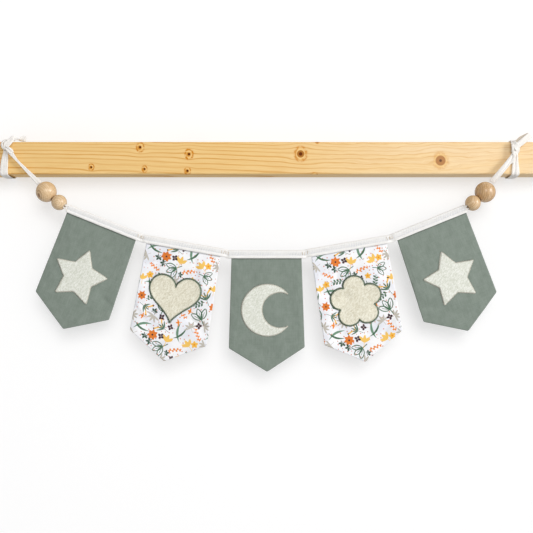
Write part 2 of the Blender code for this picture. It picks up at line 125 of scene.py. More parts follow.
# A felt motif on each pennant: its centre (across, drop), its size and its rim's thread.
Motif = namedtuple("Motif", "node outline pennant across drop size rim")
MOTIFS = (
    Motif("applique_star_left", "star", 0, -2.0, 64.0, 66.0, "cream"),
    Motif("applique_heart", "heart", 1, -1.0, 59.0, 60.0, "green"),
    Motif("applique_moon", "moon", 2, 1.0, 60.0, 60.0, "cream"),
    Motif("applique_blossom", "blossom", 3, -2.0, 60.0, 60.0, "green"),
    Motif("applique_star_right", "star", 4, -1.0, 64.0, 66.0, "cream"),
)

# The rim of a motif is a zigzag of thread: its width, the pitch of its stitches, the
# thread's thickness and how unevenly it is sewn.
Rim = namedtuple("Rim", "width pitch thread waver")
RIMS = {
    "cream": Rim(1.3, 0.62, 0.34, 0.16),
    "green": Rim(2.3, 0.50, 0.42, 0.34),
}
# The points of one stitch: shares of the width across and of the pitch along.
RIM_STITCH = ((0.5, 0.0), (0.1, 0.3), (-0.12, 0.42), (-0.5, 0.5))
RIM_SWAY = 4.7            # the length of its slow sway from side to side

# The beads. The axis points along the bore, from the knot towards the binding; pith is
# the way that the middle of the tree lies, and rings the width of its growth rings.
Bead = namedtuple("Bead", "node centre radius axis pith away rings ground late")
BEADS = (
    Bead("bead_left_large", (-256.4, -42.5, -40.1), 12.0, (0.72, -0.14, -0.68),
         (0.74, -0.36, -0.56), (12.0, 26.0, 30.0), 1.9, (226, 196, 154), (186, 144, 94)),
    Bead("bead_left_small", (-240.6, -46.0, -52.7), 9.0, (0.79, -0.12, -0.60),
         (0.30, -0.92, -0.15), (-3.2, 0.0, 0.4), 2.7, (226, 198, 158), (186, 146, 98)),
    Bead("bead_right_large", (254.6, -42.5, -40.4), 12.0, (-0.68, -0.14, -0.72),
         (0.10, -0.10, 0.99), (60.0, 4.0, 0.0), 2.1, (210, 173, 124), (142, 94, 46)),
    Bead("bead_right_small", (239.4, -46.3, -53.4), 9.0, (-0.78, -0.12, -0.61),
         (0.62, -0.20, 0.75), (34.0, 8.0, -6.0), 2.2, (217, 185, 141), (180, 139, 90)),
)
BEAD_KNOT = (-262.8, -44.9)   # x and z of the knot in the large bead on the left
BORE_RADIUS = 2.9
BORE_MOUTH = 0.8
BEAD_EASE = 1.6           # the ball's edge is eased by so many degrees at the bore
BEAD_ARC = 52             # steps from one bore edge to the other, and round the bead
BEAD_ROUND = 72

# The lengths of tape at both ends. A row is a section across it: its middle, width and
# thickness, and the way that its outer face looks where that isn't the front. The hoops
# go on round the rail. A lead runs from the rail's edge over the knot to the large bead.
# A wrap closes the knot, and a fan, a loop, a flap and a fold stand out of it. The strands
# lie between the small bead and the binding.
STRIPS = {
    "tape_hoop_left": (
        (-304.2, -39.4, 11.6, 4.8, 1.4), (-304.9, -39.1, 5.0, 6.2, 1.2),
        (-306.2, -39.1, -6.0, 8.6, 1.2)),
    "tape_hoop_right": (
        (290.4, -39.4, 11.6, 6.6, 1.4), (291.2, -39.2, 1.4, 5.6, 1.3),
        (290.9, -39.1, -8.0, 7.6, 1.2)),
    "tape_lead_left": (
        (-303.6, -41.8, 11.6, 4.0, 1.4), (-300.8, -42.6, 8.6, 5.2, 1.4),
        (-296.6, -42.6, 4.0, 4.8, 1.4), (-290.9, -42.2, -3.2, 2.9, 1.6),
        (-283.0, -42.0, -11.4, 3.6, 1.6), (-276.2, -42.0, -18.4, 4.6, 1.5),
        (-269.6, -41.9, -25.2, 5.6, 1.5), (-266.4, -41.6, -28.6, 6.3, 2.0),
        (-264.6, -41.2, -30.6, 6.0, 1.6)),
    "tape_lead_right": (
        (289.8, -42.2, 8.0, 5.2, 1.4), (287.2, -43.6, 2.2, 6.0, 1.4),
        (283.4, -44.6, -3.2, 6.4, 1.4), (273.4, -45.4, -15.4, 6.7, 1.4),
        (266.6, -43.6, -23.6, 7.0, 1.4), (263.9, -41.9, -26.8, 7.4, 2.1),
        (262.4, -41.2, -28.9, 6.8, 1.7)),
    "tape_wrap_left": (
        (-306.6, -39.8, 9.6, 3.0, 1.6, -1.0, -0.3, 0.0),
        (-306.0, -42.4, 10.2, 3.4, 1.6, -1.0, -1.0, 0.0), (-304.0, -43.6, 11.2, 3.6, 1.6),
        (-302.0, -42.8, 12.0, 3.2, 1.6, 1.0, -1.0, 0.0),
        (-301.6, -40.2, 12.4, 3.0, 1.6, 1.0, -0.3, 0.0)),
    "tape_wrap_right": (
        (292.2, -39.6, 4.8, 4.6, 1.4, 0.3, -1.0, 0.0),
        (292.6, -42.2, 8.8, 6.6, 1.6, 0.5, -1.0, 0.0), (290.8, -44.0, 12.8, 7.2, 1.6),
        (288.4, -43.4, 16.0, 5.8, 1.6, -0.8, -1.2, 0.2),
        (287.2, -40.4, 17.4, 4.4, 1.6, -1.0, -0.3, 0.0)),
    "tape_fan_left": (
        (-303.8, -42.6, 11.0, 4.4, 1.6), (-303.2, -42.8, 13.8, 6.8, 1.5, 0.0, -1.0, 0.1),
        (-301.6, -41.8, 17.0, 9.0, 1.3, 0.0, -1.0, 0.3),
        (-300.9, -39.6, 19.7, 11.4, 1.2, 0.0, -0.8, 0.6),
        (-300.8, -36.6, 20.9, 12.0, 1.2, 0.0, -0.2, 1.0),
        (-301.0, -33.0, 20.9, 11.4, 1.2, 0.0, 0.0, 1.0)),
    "tape_loop_left": (
        (-304.4, -42.6, 10.4, 2.0, 1.2), (-306.8, -43.2, 11.2, 2.4, 1.2, -0.5, -1.0, 0.0),
        (-308.2, -42.8, 14.2, 2.8, 1.2, -0.5, -1.0, 0.0),
        (-307.8, -41.6, 17.6, 2.8, 1.2, -0.4, -1.0, 0.3),
        (-306.4, -39.6, 20.2, 2.6, 1.2, -0.2, -0.8, 0.6),
        (-305.6, -36.6, 21.2, 2.4, 1.2, 0.0, -0.2, 1.0)),
    "tape_flap_left": (
        (-304.0, -43.4, 12.0, 2.4, 1.2), (-301.8, -44.8, 10.8, 4.8, 1.3),
        (-299.2, -45.0, 8.8, 6.0, 1.3), (-296.8, -44.4, 6.6, 5.8, 1.3),
        (-295.2, -43.5, 5.2, 3.6, 1.2)),
    "tape_fold_right": (
        (285.9, -42.6, 17.4, 2.0, 1.2, -0.3, -1.0, 0.2),
        (286.0, -44.0, 14.4, 2.6, 1.3, -0.3, -1.0, 0.0),
        (286.4, -44.8, 8.4, 2.8, 1.3, -0.3, -1.0, 0.0),
        (287.2, -45.0, 3.0, 2.8, 1.3, -0.2, -1.0, 0.0), (287.9, -45.0, -0.8, 3.2, 1.3),
        (286.2, -44.8, -4.2, 3.4, 1.3), (283.8, -43.8, -7.0, 2.4, 1.2)),
    "tape_tail_inside": (
        (289.4, -40.8, 15.2, 3.2, 1.2, 0.0, -1.0, 0.3),
        (292.8, -40.4, 18.8, 4.6, 1.2, 0.0, -1.0, 0.4),
        (297.2, -40.0, 22.6, 5.4, 1.2, 0.0, -1.0, 0.4),
        (301.6, -39.6, 25.2, 4.6, 1.2, 0.0, -1.0, 0.4),
        (305.8, -39.4, 28.2, 2.6, 1.0, 0.0, -1.0, 0.4)),
    "tape_tail_left": (
        (-302.6, -40.8, 14.6, 4.6, 1.6), (-300.4, -41.0, 18.8, 6.0, 1.5),
        (-298.2, -38.8, 21.8, 6.6, 1.4, -0.2, -1.0, 0.5),
        (-296.0, -36.8, 23.0, 6.8, 1.3, 0.1, -1.0, 0.1),
        (-292.6, -36.0, 22.2, 5.6, 1.3, 0.2, -0.5, 1.0),
        (-289.2, -35.6, 21.6, 5.6, 1.3, 0.0, 0.4, 1.0),
        (-285.6, -35.4, 22.8, 6.8, 1.3, -0.1, 1.0, 0.3),
        (-282.2, -35.2, 22.9, 6.4, 1.3, -0.2, 1.0, 0.1)),
    "tape_tail_right": (
        (286.6, -40.4, 6.0, 3.6, 1.4), (289.4, -41.8, 11.0, 5.6, 1.6),
        (293.4, -42.8, 14.7, 6.8, 1.6), (298.6, -42.6, 18.9, 6.9, 1.5, 0.1, -1.0, 0.1),
        (303.6, -41.8, 23.0, 7.0, 1.4, 0.1, -1.0, 0.2),
        (307.6, -40.8, 26.3, 7.0, 1.4, 0.1, -1.0, 0.2)),
    "tape_strand_left_low": (
        (-229.8, -46.4, -61.6, 4.4, 1.4), (-232.2, -47.2, -60.6, 2.8, 1.3),
        (-235.0, -47.2, -58.6, 1.9, 1.2), (-238.0, -46.6, -56.0, 1.8, 1.2)),
    "tape_strand_left_high": (
        (-228.6, -46.4, -57.4, 4.4, 1.4), (-231.2, -47.4, -56.6, 2.8, 1.3),
        (-233.8, -47.4, -55.4, 1.9, 1.2), (-237.0, -46.6, -54.4, 1.8, 1.2)),
    "tape_strand_right_low": (
        (230.0, -46.4, -62.2, 4.4, 1.4), (232.0, -47.4, -61.4, 2.8, 1.3),
        (234.2, -47.4, -59.6, 1.9, 1.2), (237.0, -46.8, -57.0, 1.8, 1.2)),
    "tape_strand_right_high": (
        (228.4, -46.4, -58.0, 4.4, 1.4), (230.6, -47.6, -57.4, 2.8, 1.3),
        (232.8, -47.6, -56.4, 1.9, 1.2), (236.0, -46.8, -55.2, 1.8, 1.2)),
}
# x where a hoop passes the rail's edges: front-under, back-under, back-over, front-over.
HOOP_EDGES = {"tape_hoop_left": (-306.8, -308.4, -306.4, -304.2),
              "tape_hoop_right": (291.0, 293.8, 292.4, 290.0)}
HOOP_SAG = 1.0            # how far it sags under the rail

# Creases along the tape, each from (share of the length, share of the half width) to the
# same, with its half width and rise.
CREASES = {
    "tape_lead_left": ((0.05, 0.2, 0.95, 0.15, 0.6, -0.26), (0.1, 0.62, 1.0, 0.5, 0.5, 0.22)),
    "tape_lead_right": ((0.1, -0.1, 0.9, -0.55, 0.7, -0.60), (0.2, 0.4, 1.0, 0.2, 0.9, 0.3)),
    "tape_hoop_left": ((0.0, 0.2, 0.28, 0.1, 0.5, -0.50), (0.0, -0.4, 0.25, -0.5, 0.4, -0.40)),
    "tape_hoop_right": ((0.0, 0.0, 0.28, 0.35, 0.7, -0.7), (0.05, -0.5, 0.25, -0.2, 0.5, 0.4)),
    "tape_fan_left": ((0.1, 0.3, 1.0, 0.45, 0.6, -0.45), (0.1, -0.2, 1.0, -0.4, 0.6, -0.45)),
    "tape_flap_left": ((0.1, 0.1, 0.9, 0.3, 0.7, -0.40), (0.1, -0.5, 0.9, -0.4, 0.7, 0.40)),
    "tape_wrap_right": ((0.0, 0.3, 1.0, 0.2, 0.5, -0.50), (0.0, -0.4, 1.0, -0.3, 0.5, -0.40)),
    "tape_tail_right": ((0.0, 0.2, 0.6, 0.0, 0.6, -0.35), (0.1, -0.6, 0.5, -0.5, 0.5, 0.30)),
}

# The binding's profile over the front of a pennant: how far out its leaf lies and its
# height over the lower edge. The hem is turned in, then comes the line of stitches.
BINDING_PROFILE = (
    (1.30, 3.2), (1.28, 1.6), (1.36, 0.60), (1.80, 0.10), (2.35, 0.40), (2.58, 1.30),
    (2.40, 2.40), (1.78, 3.10), (1.44, 3.60), (1.56, 4.60), (1.62, 6.20), (1.44, 7.80),
    (0.95, 8.90), (0.0, 9.40),
)
BINDING_SHUT = 0.56       # how far the binding stays open between two pennants
BINDING_GAP = 4.0
BINDING_CUT = 26.0
BINDING_STEP = 0.75       # between two rows of its mesh
PROFILE_STEPS = 22        # steps along the profile, and those of them in the hem
HEM_STEPS = 7
RIB_PITCH = 2.9
RIB_RISE = 0.12
ZIGZAG = (7.4, 4.2)       # heights between which the binding's stitches run
ZIGZAG_THICK = 0.24
ZIGZAG_END = 2.0
TACK_FOOT = 4.0           # the tacks: four strokes after each pennant but the last
TACK_HEIGHT = 3.4
TACK_PITCH = 2.2
TACK_THICK = 0.62
THREAD_LIFT = 0.28        # how far the thread's middle lies off the leaf

# The camera, from the photograph's view: straight on, at the height of the binding.
CAMERA_PLACE = (0.0, -1.059, -0.127)
CAMERA_LENS = 58.96
WALL_GAP = 3.0            # between the rail's back and the wall
FLOOR_Z = -0.62

# The lamps: place, target, size, power and what they light, in metres and watts.
LAMPS = {
    "key": ((0.25, -2.1, 0.50), (0.0, 0.0, -0.1), 0.8, 14.3, "everything"),
    "window": ((3.2, -2.2, 0.85), (0.1, 0.0, -0.05), 1.4, 90.0, "all but the wall"),
    "wash": ((0.5, -2.6, 0.35), (0.0, 0.0, -0.1), 2.4, 23.0, "the wall alone"),
}
ROOM = ((1.0, 0.985, 0.965, 1.0), 0.41)   # the room's colour and strength
GLOW = 1.18               # how strongly the wall and the floor glow for the camera
# Their colour, the strength of the light that they throw back and the glow's share.
WALL = ((0.98, 0.98, 0.985, 1.0), 0.62, 0.42)
FLOOR = ((0.88, 0.88, 0.87, 1.0), 0.6, 0.2)
PLANE_HALF = 3.0


# ---- Node trees
def math_node(kind):
    """A method that puts a Math node of that kind behind an amount."""
    return lambda self, *others: Amount(add(
        self.tree, "Math", dict(enumerate((self, *others))), operation=kind).outputs[0])


class Amount:
    """A number or a vector in a node tree. Signs between amounts add Math nodes."""

    def __init__(self, socket):
        self.socket = socket
        self.tree = socket.id_data

    __add__ = __radd__ = math_node("ADD")
    __sub__ = math_node("SUBTRACT")
    __mul__ = __rmul__ = math_node("MULTIPLY")
    __truediv__ = math_node("DIVIDE")
    __mod__ = math_node("FLOORED_MODULO")
    size = math_node("ABSOLUTE")
    root = math_node("SQRT")
    sine = math_node("SINE")
    cosine = math_node("COSINE")
    least = math_node("MINIMUM")
    most = math_node("MAXIMUM")

    def __rsub__(self, other):
        return self * -1.0 + other

    def squared(self):
        return self * self

    def between(self, low, high):
        """0 at low, 1 at high and soft in between; low may be the larger."""
        return Amount(add(self.tree, "MapRange", {0: self, 1: low, 2: high},
                          interpolation_type="SMOOTHSTEP").outputs[0])


def srgb(red, green, blue):
    return (*(((c / 255.0 + 0.055) / 1.055) ** 2.4 for c in (red, green, blue)), 1.0)


def plug(entry, value):
    """Feed a socket from an amount or another socket, or set it."""
    value = value.socket if isinstance(value, Amount) else value
    if isinstance(value, bpy.types.NodeSocket):
        entry.id_data.links.new(value, entry)
    elif entry.type == "RGBA" and len(value) == 3:
        entry.default_value = srgb(*value)
    else:
        entry.default_value = value


def add(tree, kind, inputs=None, **settings):
    """A shader node with its settings and its inputs by name or number."""
    node = tree.nodes.new("ShaderNode" + kind)
    for key, value in settings.items():
        setattr(node, key, value)
    for key, value in (inputs or {}).items():
        plug(node.inputs[key], value)
    return node


def apart(vector):
    return [Amount(socket) for socket in add(vector.tree, "SeparateXYZ", {0: vector}).outputs]


def together(x, y, z=0.0):
    return Amount(add(x.tree, "CombineXYZ", {0: x, 1: y, 2: z}).outputs[0])


def far(x, y):
    """How far the point x, y lies from the origin."""
    return (x.squared() + y.squared()).root()


def scaled(vector, sizes, turn=(0.0, 0.0, 0.0), move=(0.0, 0.0, 0.0)):
    """A Mapping node: turned, stretched and moved."""
    return Amount(add(vector.tree, "Mapping", {"Vector": vector, "Scale": sizes, "Rotation": turn,
                                               "Location": move}).outputs[0])


def speckle(vector, scale, detail=2.0, roughness=0.5, distortion=0.0):
    """Noise, 0 to 1. A scale of three numbers stretches it."""
    if isinstance(scale, tuple):
        vector, scale = scaled(vector, scale), 1.0
    node = add(vector.tree, "TexNoise", {"Vector": vector, "Scale": scale, "Detail": detail,
                                         "Roughness": roughness, "Distortion": distortion})
    return Amount(node.outputs["Fac"])


def new_group(name, inputs, outputs):
    """A node group: its inputs as amounts, and the function that gives its outputs."""
    tree = bpy.data.node_groups.new(name, "ShaderNodeTree")
    for side, labels in (("INPUT", inputs.split()), ("OUTPUT", outputs.split())):
        for label in labels:
            kind = "NodeSocketVector" if label == "Vector" else "NodeSocketFloat"
            tree.interface.new_socket(label, in_out=side, socket_type=kind)
    entry, end = tree.nodes.new("NodeGroupInput"), tree.nodes.new("NodeGroupOutput")

    def give(*values):
        for socket, value in zip(end.inputs, values):
            plug(socket, value)
        return tree

    return [Amount(socket) for _, socket in zip(inputs.split(), entry.outputs)], give


# ---- Shared effects
def weave_group():
    """Plain weave on a flat cut: the height of the threads and their uneven dye."""
    (vector, pitch, rough), give = new_group("plain weave", "Vector Pitch Slub", "Height Dye")
    x, y, _ = apart(vector)
    slub = speckle(vector, (900.0, 60.0, 1.0))
    other = speckle(vector, (60.0, 900.0, 1.0))
    warp = (x * math.pi / pitch).sine()
    weft = (y * math.pi / pitch).sine()
    over = (warp * weft).between(-0.25, 0.25)
    height = over * (1.0 - warp.squared()).root() + (1.0 - over) * (1.0 - weft.squared()).root()
    return give(height + (slub - other) * rough * 0.5, (slub + other) * 0.5)


def nap_group():
    """Felt and bare fibre: a short diagonal nap, with its height and its flecks."""
    (vector, size), give = new_group("nap", "Vector Scale", "Height Fleck")
    turned = scaled(vector, (1.0, 1.0, 1.0), turn=(0.0, math.radians(52.0), 0.0))
    long = speckle(scaled(turned, (0.62, 1.0, 1.25)), size * 520.0, 4.0, 0.66, 0.9)
    fine = speckle(vector, size * 1500.0, 3.0, 0.7, 0.4)
    return give(long * 0.65 + fine * 0.35, (long * 0.75 + fine * 0.25).between(0.40, 0.62))


def timber_group():
    """Growth rings round the Z axis of a vector in metres, and the fibres along it."""
    (vector, width, uneven), give = new_group("timber", "Vector Ring Waver", "Late Fibre Patch")
    waver = speckle(vector, (55.0, 55.0, 6.0), 3.0, 0.55) - 0.5
    x, y, _ = apart(vector)
    reach = far(x, y) + waver * uneven * 4.0
    ring = reach / width % 1.0
    late = ring.between(0.64, 0.92) * ring.between(1.0, 0.95)
    spread = speckle(vector, (170.0, 170.0, 7.0))
    coarse = speckle(vector, (800.0, 800.0, 30.0))
    fine = speckle(vector, (2600.0, 2600.0, 90.0), 1.0)
    return give(late * (0.35 + spread.between(0.30, 0.62) * 0.65), coarse * 0.65 + fine * 0.35,
                spread)


# ---- The print: common garden motifs, placed on a repeat, in millimetres
REPEAT = (84.0, 92.0)
EDGE_SOFT = 0.10          # the ink's soft edge
LINE_HALF = 0.24          # half the width of a stalk
DOTS = 0.215              # how close the dots lie, to the millimetre
# Painted shade: the cloth is darker this far below the binding's fold, as if the fold shaded it.
FOLD_SHADE_REACH = 1.5          # the cloth is darker this far below the binding's fold


def place_group():
    """Turns the cloth's millimetres into those of one motif that comes back each repeat."""
    (vector, across, up, turn, size), give = new_group(
        "on the repeat", "Vector Across Up Turn Size", "X Y")
    x, y, _ = apart(vector)
    x, y = (((along - start) / span + 0.5) % 1.0 - 0.5
            for along, start, span in zip((x, y), (across, up), REPEAT))
    x, y = x * REPEAT[0] / size, y * REPEAT[1] / size
    return give(x * turn.cosine() + y * turn.sine(), y * turn.cosine() - x * turn.sine())


def inked(distance):
    """1 inside, where the distance is below 0."""
    return distance.between(EDGE_SOFT, -EDGE_SOFT)


def leaf_edge(aside, along, wide, middle, half):
    """Below 0 inside a pointed leaf with that half width, middle and half length."""
    return aside - wide * (1.0 - ((along - middle) / half).squared())


def whorl_group():
    """Petals or leaves round a point, or only those near its top; the accent is the eye."""
    (x, y, count, long, wide, eye, spread), give = new_group(
        "whorl", "X Y Count Long Wide Eye Spread", "Mask Accent")
    reach = far(x, y)
    sector = math_node("POWER")(count / math.tau, -1.0)
    angle = math_node("ARCTAN2")(x, y)
    turned = (angle / sector + 0.5) % 1.0 * sector - sector * 0.5
    along = reach * turned.cosine()
    aside = (reach * turned.sine()).size()
    petal = leaf_edge(aside, along, wide, long * 0.55, long * 0.5)
    held = petal.most((angle.size() - spread) * reach)
    stalk = (x.size() - LINE_HALF).most((y + long * 0.3).size() - long * 0.34)
    return give(inked(held.least(stalk.most(spread - 3.5))), inked(reach - eye))


def sprig_group():
    """Pairs of leaves up a stem, which is the accent."""
    (x, y, long, pitch, leaf, wide, stem), give = new_group(
        "sprig", "X Y Long Pitch Leaf Wide Stem", "Mask Accent")
    side = x.size()
    row = ((y / pitch + x.between(-0.01, 0.01) * 0.35) % 1.0 - 0.25) * pitch
    slant = math.radians(42.0)
    along = side * math.cos(slant) + row * math.sin(slant)
    aside = (row * math.cos(slant) - side * math.sin(slant)).size()
    ends = (y * -1.0).most(y - long)
    return give(inked(leaf_edge(aside, along, wide, leaf * 0.58, leaf * 0.5).most(ends)),
                inked((side - stem).most(ends - leaf * 0.4)))


def blade_group():
    """A long bowed leaf."""
    (x, y, long, wide, bow), give = new_group("blade", "X Y Long Wide Bow", "Mask")
    share = (y / long).squared()
    middle = x - bow * (1.0 - share)
    return give(inked(middle.size() - wide * (1.0 - share)))


def spray_group():
    """Leaves drawn as outlines, three on one stalk."""
    (x, y, long, wide, line, spread), give = new_group(
        "spray", "X Y Long Wide Line Spread", "Mask")
    drawn = (x.size() - line * 0.9).most((y + long * 0.1).size() - long * 0.4)
    for side in (-1.0, 0.0, 1.0):
        turn = spread * side
        aside = x * turn.cosine() - y * turn.sine()
        along = (y * turn.cosine() + x * turn.sine()) - long * 0.60
        edge = leaf_edge(aside.size(), along, wide, 0.0, long * 0.52)
        rim = (edge.size() - line).most(along.size() - long * 0.50)
        rib = (aside.size() - line * 0.5).most((along + long * 0.22).size() - long * 0.38)
        drawn = drawn.least(rim).least(rib)
    return give(inked(drawn))


def bell_group():
    """A bell flower, narrow at its foot; the accent is its dark mouth."""
    (x, y, long, mouth), give = new_group("bell", "X Y Long Mouth", "Mask Accent")
    share = y / long
    wide = mouth * (0.42 + 0.34 * share + 0.24 * share.squared().squared())
    frill = long * (0.95 + 0.05 * (x / mouth * 9.0).cosine())
    body = (x.size() - wide).most((y * -1.0).most(y - frill))
    rim = far(x / mouth, (y - long) / (mouth * 0.52)) - 1.0
    stalk = (x.size() - 0.22).most((y + long * 0.32).size() - long * 0.32)
    return give(inked(body.least(stalk)), inked(rim * mouth * 0.7))


GROUPS = {
    "weave": weave_group(), "nap": nap_group(), "timber": timber_group(),
    "place": place_group(), "whorl": whorl_group(), "sprig": sprig_group(),
    "blade": blade_group(), "spray": spray_group(), "bell": bell_group(),
}

LEAF_GREEN = (66, 104, 76)
SOFT_GREEN = (106, 143, 118)
DARK_GREEN = (46, 78, 58)
STONE = (190, 184, 173)
YELLOW = (243, 186, 68)
MUSTARD = (244, 197, 96)
ORANGE = (236, 134, 22)
RUST = (222, 120, 34)
PLUM = (58, 22, 38)
CORAL = (208, 120, 90)

# One kind of mark in the print: its shape, its colour and its accent's if it has one, how
# far its foot is moved forward and how far it leans from its places, the shape's values in
# order, and the places in the repeat, as (across, up, turn in degrees, size).
CROSSINGS = ((53, 89, 270, 0.97), (13, 89, 195, 0.99), (11, 46, 165, 0.88), (56, 46, 300, 0.92))
TUFTS = ((75, 0, 300, 0.94), (35, 43, 330, 1.03), (53, 19, 120, 0.86))
PRINT = (
    ("spray", (LEAF_GREEN,), -6.0, 0, (11.6, 2.5, 0.52, 0.68),
     ((32, 21, 330, 1.12), (75, 67, 240, 1.05), (33, 65, 105, 0.89), (74, 23, 15, 1.07))),
    ("blade", (SOFT_GREEN,), 0.0, -20, (11.4, 1.4, 3.2), CROSSINGS),
    ("blade", (LEAF_GREEN,), 0.5, 28, (10.6, 1.15, -3.0), CROSSINGS),
    ("whorl", (LEAF_GREEN,), -4.5, 0, (15.0, 9.8, 0.8, 0.0, 1.05), TUFTS),
    ("sprig", (ORANGE, ORANGE), -7.5, 0, (14.0, 4.2, 2.6, 1.0, 0.3),
     ((54, 67, 300, 0.92), (33, 90, 330, 1.02), (11, 18, 300, 0.95), (11, 68, 75, 1.01))),
    ("whorl", (STONE,), -3.6, 0, (9.0, 7.6, 1.15, 0.0, 1.55),
     ((41, 78, 240, 0.95), (42, 9, 75, 0.95), (83, 54, 90, 1.02), (23, 7, 330, 1.05),
      (62, 8, 210, 1.09))),
    ("sprig", (LEAF_GREEN, LEAF_GREEN), -5.0, 0, (10.0, 3.3, 3.9, 1.05, 0.25),
     ((57, 32, 60, 0.95), (24, 53, 15, 1.0), (64, 58, 270, 1.06), (29, 33, 240, 1.08))),
    ("whorl", (RUST, PLUM), 0.0, 0, (7.0, 5.8, 1.75, 1.0, 4.0),
     ((74, 46, 165, 0.96), (46, 32, 330, 0.86), (5, 32, 210, 1.1), (66, 81, 315, 1.04))),
    ("whorl", (MUSTARD,), -4.6, 0, (9.0, 8.2, 1.7, 0.0, 1.05),
     ((18, 31, 135, 0.94), (0, 80, 15, 1.12), (43, 54, 0, 0.93), (23, 78, 315, 1.11))),
    ("bell", (YELLOW, PLUM), 3.6, -52, (6.6, 1.35), TUFTS),
    ("bell", (YELLOW, PLUM), 4.2, 50, (6.2, 1.35), TUFTS),
    ("whorl", (YELLOW, ORANGE), 0.0, 0, (5.0, 3.8, 1.35, 0.9, 4.0),
     ((24, 42, 75, 0.96), (51, 57, 60, 1.1), (16, 59, 150, 0.95), (66, 38, 255, 1.05),
      (32, 78, 60, 1.1))),
    ("whorl", (PLUM, STONE), 0.0, 0, (4.0, 3.5, 1.3, 0.6, 4.0),
     ((8, 58, 300, 0.85), (73, 11, 225, 1.05), (33, 8, 255, 1.07), (1, 1, 15, 1.03),
      (76, 81, 300, 1.08))),
    ("whorl", (DARK_GREEN,), -1.0, 0, (5.0, 4.2, 1.15, 0.0, 2.4),
     ((2, 63, 75, 0.91), (63, 73, 270, 1.05), (57, 78, 210, 1.05), (2, 23, 150, 0.98),
      (64, 17, 30, 0.96))),
    ("whorl", (ORANGE,), -1.5, 0, (6.0, 3.9, 1.1, 0.0, 1.2),
     ((9, 8, 255, 1.11), (20, 23, 285, 1.15), (83, 45, 210, 1.08), (51, 9, 285, 1.09))),
)


# ---- Finishes
class Finish:
    """A material with one Principled shader, whose colour is laid on in coats."""

    def __init__(self, name, roughness, ground, **values):
        self.material = bpy.data.materials.new(name)
        self.material.use_nodes = True
        self.tree = self.material.node_tree
        self.entries = self.tree.nodes["Principled BSDF"].inputs
        self.entries["Roughness"].default_value = roughness
        for key, value in values.items():
            self.entries[key.replace("_", " ")].default_value = value
        self.colour = ground

    def cut(self):
        """The flat cut of a piece, in metres."""
        return Amount(add(self.tree, "UVMap", uv_map="UVMap").outputs[0])

    def place(self):
        """The place in the frame, in metres."""
        return Amount(add(self.tree, "TexCoord").outputs["Object"])

    def use(self, group, *values):
        """Place a shared effect with its values in order; what it gives."""
        node = add(self.tree, "Group", dict(enumerate(values)), node_tree=GROUPS[group])
        return [Amount(socket) for socket in node.outputs]

    def coat(self, share, colour, blend="MIX"):
        node = add(self.tree, "Mix", {0: share, 6: self.colour, 7: colour},
                   data_type="RGBA", blend_type=blend)
        self.colour = node.outputs[2]

    def done(self, height, distance, strength, roughness=None):
        """Plug in the colour, the relief and an uneven roughness; the material."""
        bump = add(self.tree, "Bump", {"Height": height, "Distance": distance,
                                       "Strength": strength})
        plug(self.entries["Base Color"], self.colour)
        plug(self.entries["Normal"], bump.outputs[0])
        if roughness:
            plug(self.entries["Roughness"], roughness)
        return self.material


def painted_fold_shade(flat):
    """The strip of a pennant's cut just below the binding, where shade from the fold is painted.
    """
    return apart(flat)[1].between(-FOLD_SHADE_REACH * MM, -0.4 * MM)


def sage_finish():
    sage = Finish("sage cotton", 0.94, (121, 133, 123), Sheen_Weight=0.08)
    flat = sage.cut()
    height, dye = sage.use("weave", flat, 0.00042, 0.7)
    cloudy = speckle(scaled(flat, (120.0, 80.0, 1.0), turn=(0.0, 0.0, 0.5)), 1.0, 4.0, 0.65)
    sage.coat(cloudy.between(0.30, 0.72), (133, 144, 135))
    sage.coat(dye.between(0.36, 0.66) * 0.34, (146, 156, 147))
    # Painted shade just below the binding's fold.
    sage.coat(painted_fold_shade(flat) * 0.75, (82, 93, 84))
    # Painted shade in the weave's hollows.
    sage.coat(height.between(0.55, 0.1) * 0.28, (98, 109, 99))
    return sage.done(height, 0.00012, 0.5)


def print_finish():
    cloth = Finish("printed cotton", 0.90, (229, 231, 239), Sheen_Weight=0.05)
    flat = cloth.cut()
    height, _ = cloth.use("weave", flat, 0.00036, 0.6)
    wander = (speckle(flat, 380.0) - 0.5) * 0.6
    x, y, _ = apart(flat)
    drawn = together(x * 1000.0 + wander, y * 1000.0 - wander)
    # Painted shade: the ground is grey and whiter in soft patches, in place of the shading of
    # shallow dents.
    cloth.coat(speckle(flat, 34.0, 3.0).between(0.32, 0.66), (249, 249, 251))
    dots = add(cloth.tree, "TexVoronoi", {"Vector": drawn, "Scale": DOTS, "Randomness": 0.30})
    cloth.coat((Amount(dots.outputs["Distance"]) / DOTS).between(0.88, 0.66) * 0.9, CORAL)
    for shape, shades, forward, lean, values, places in PRINT:
        for across, up, turn, size in places:
            turn = math.radians(turn + lean)
            place = cloth.use("place", drawn, across + forward * size * math.sin(turn),
                              up + forward * size * math.cos(turn), -turn, size)
            for mask, shade in zip(cloth.use(shape, *place, *values), shades):
                cloth.coat(mask, shade)
    # Painted shade in the weave's hollows.
    cloth.coat(height.between(0.5, 0.1) * 0.10, (205, 205, 210))
    # Painted shade just below the binding's fold.
    cloth.coat(painted_fold_shade(flat) * 0.5, (150, 150, 156))
    return cloth.done(height, 0.00010, 0.4)


def felt_finish(name, light, shade):
    felt = Finish(name, 1.0, shade, Sheen_Weight=0.35, Sheen_Roughness=0.6)
    height, fleck = felt.use("nap", felt.place(), 1.0)
    felt.coat(fleck, light)
    return felt.done(height, 0.0007, 0.8)


def thread_finish(name, light, shade):
    thread = Finish(name, 0.7, shade, Sheen_Weight=0.2)
    height, fleck = thread.use("nap", thread.place(), 2.2)
    thread.coat(fleck, light)
    return thread.done(height, 0.0002, 0.6)


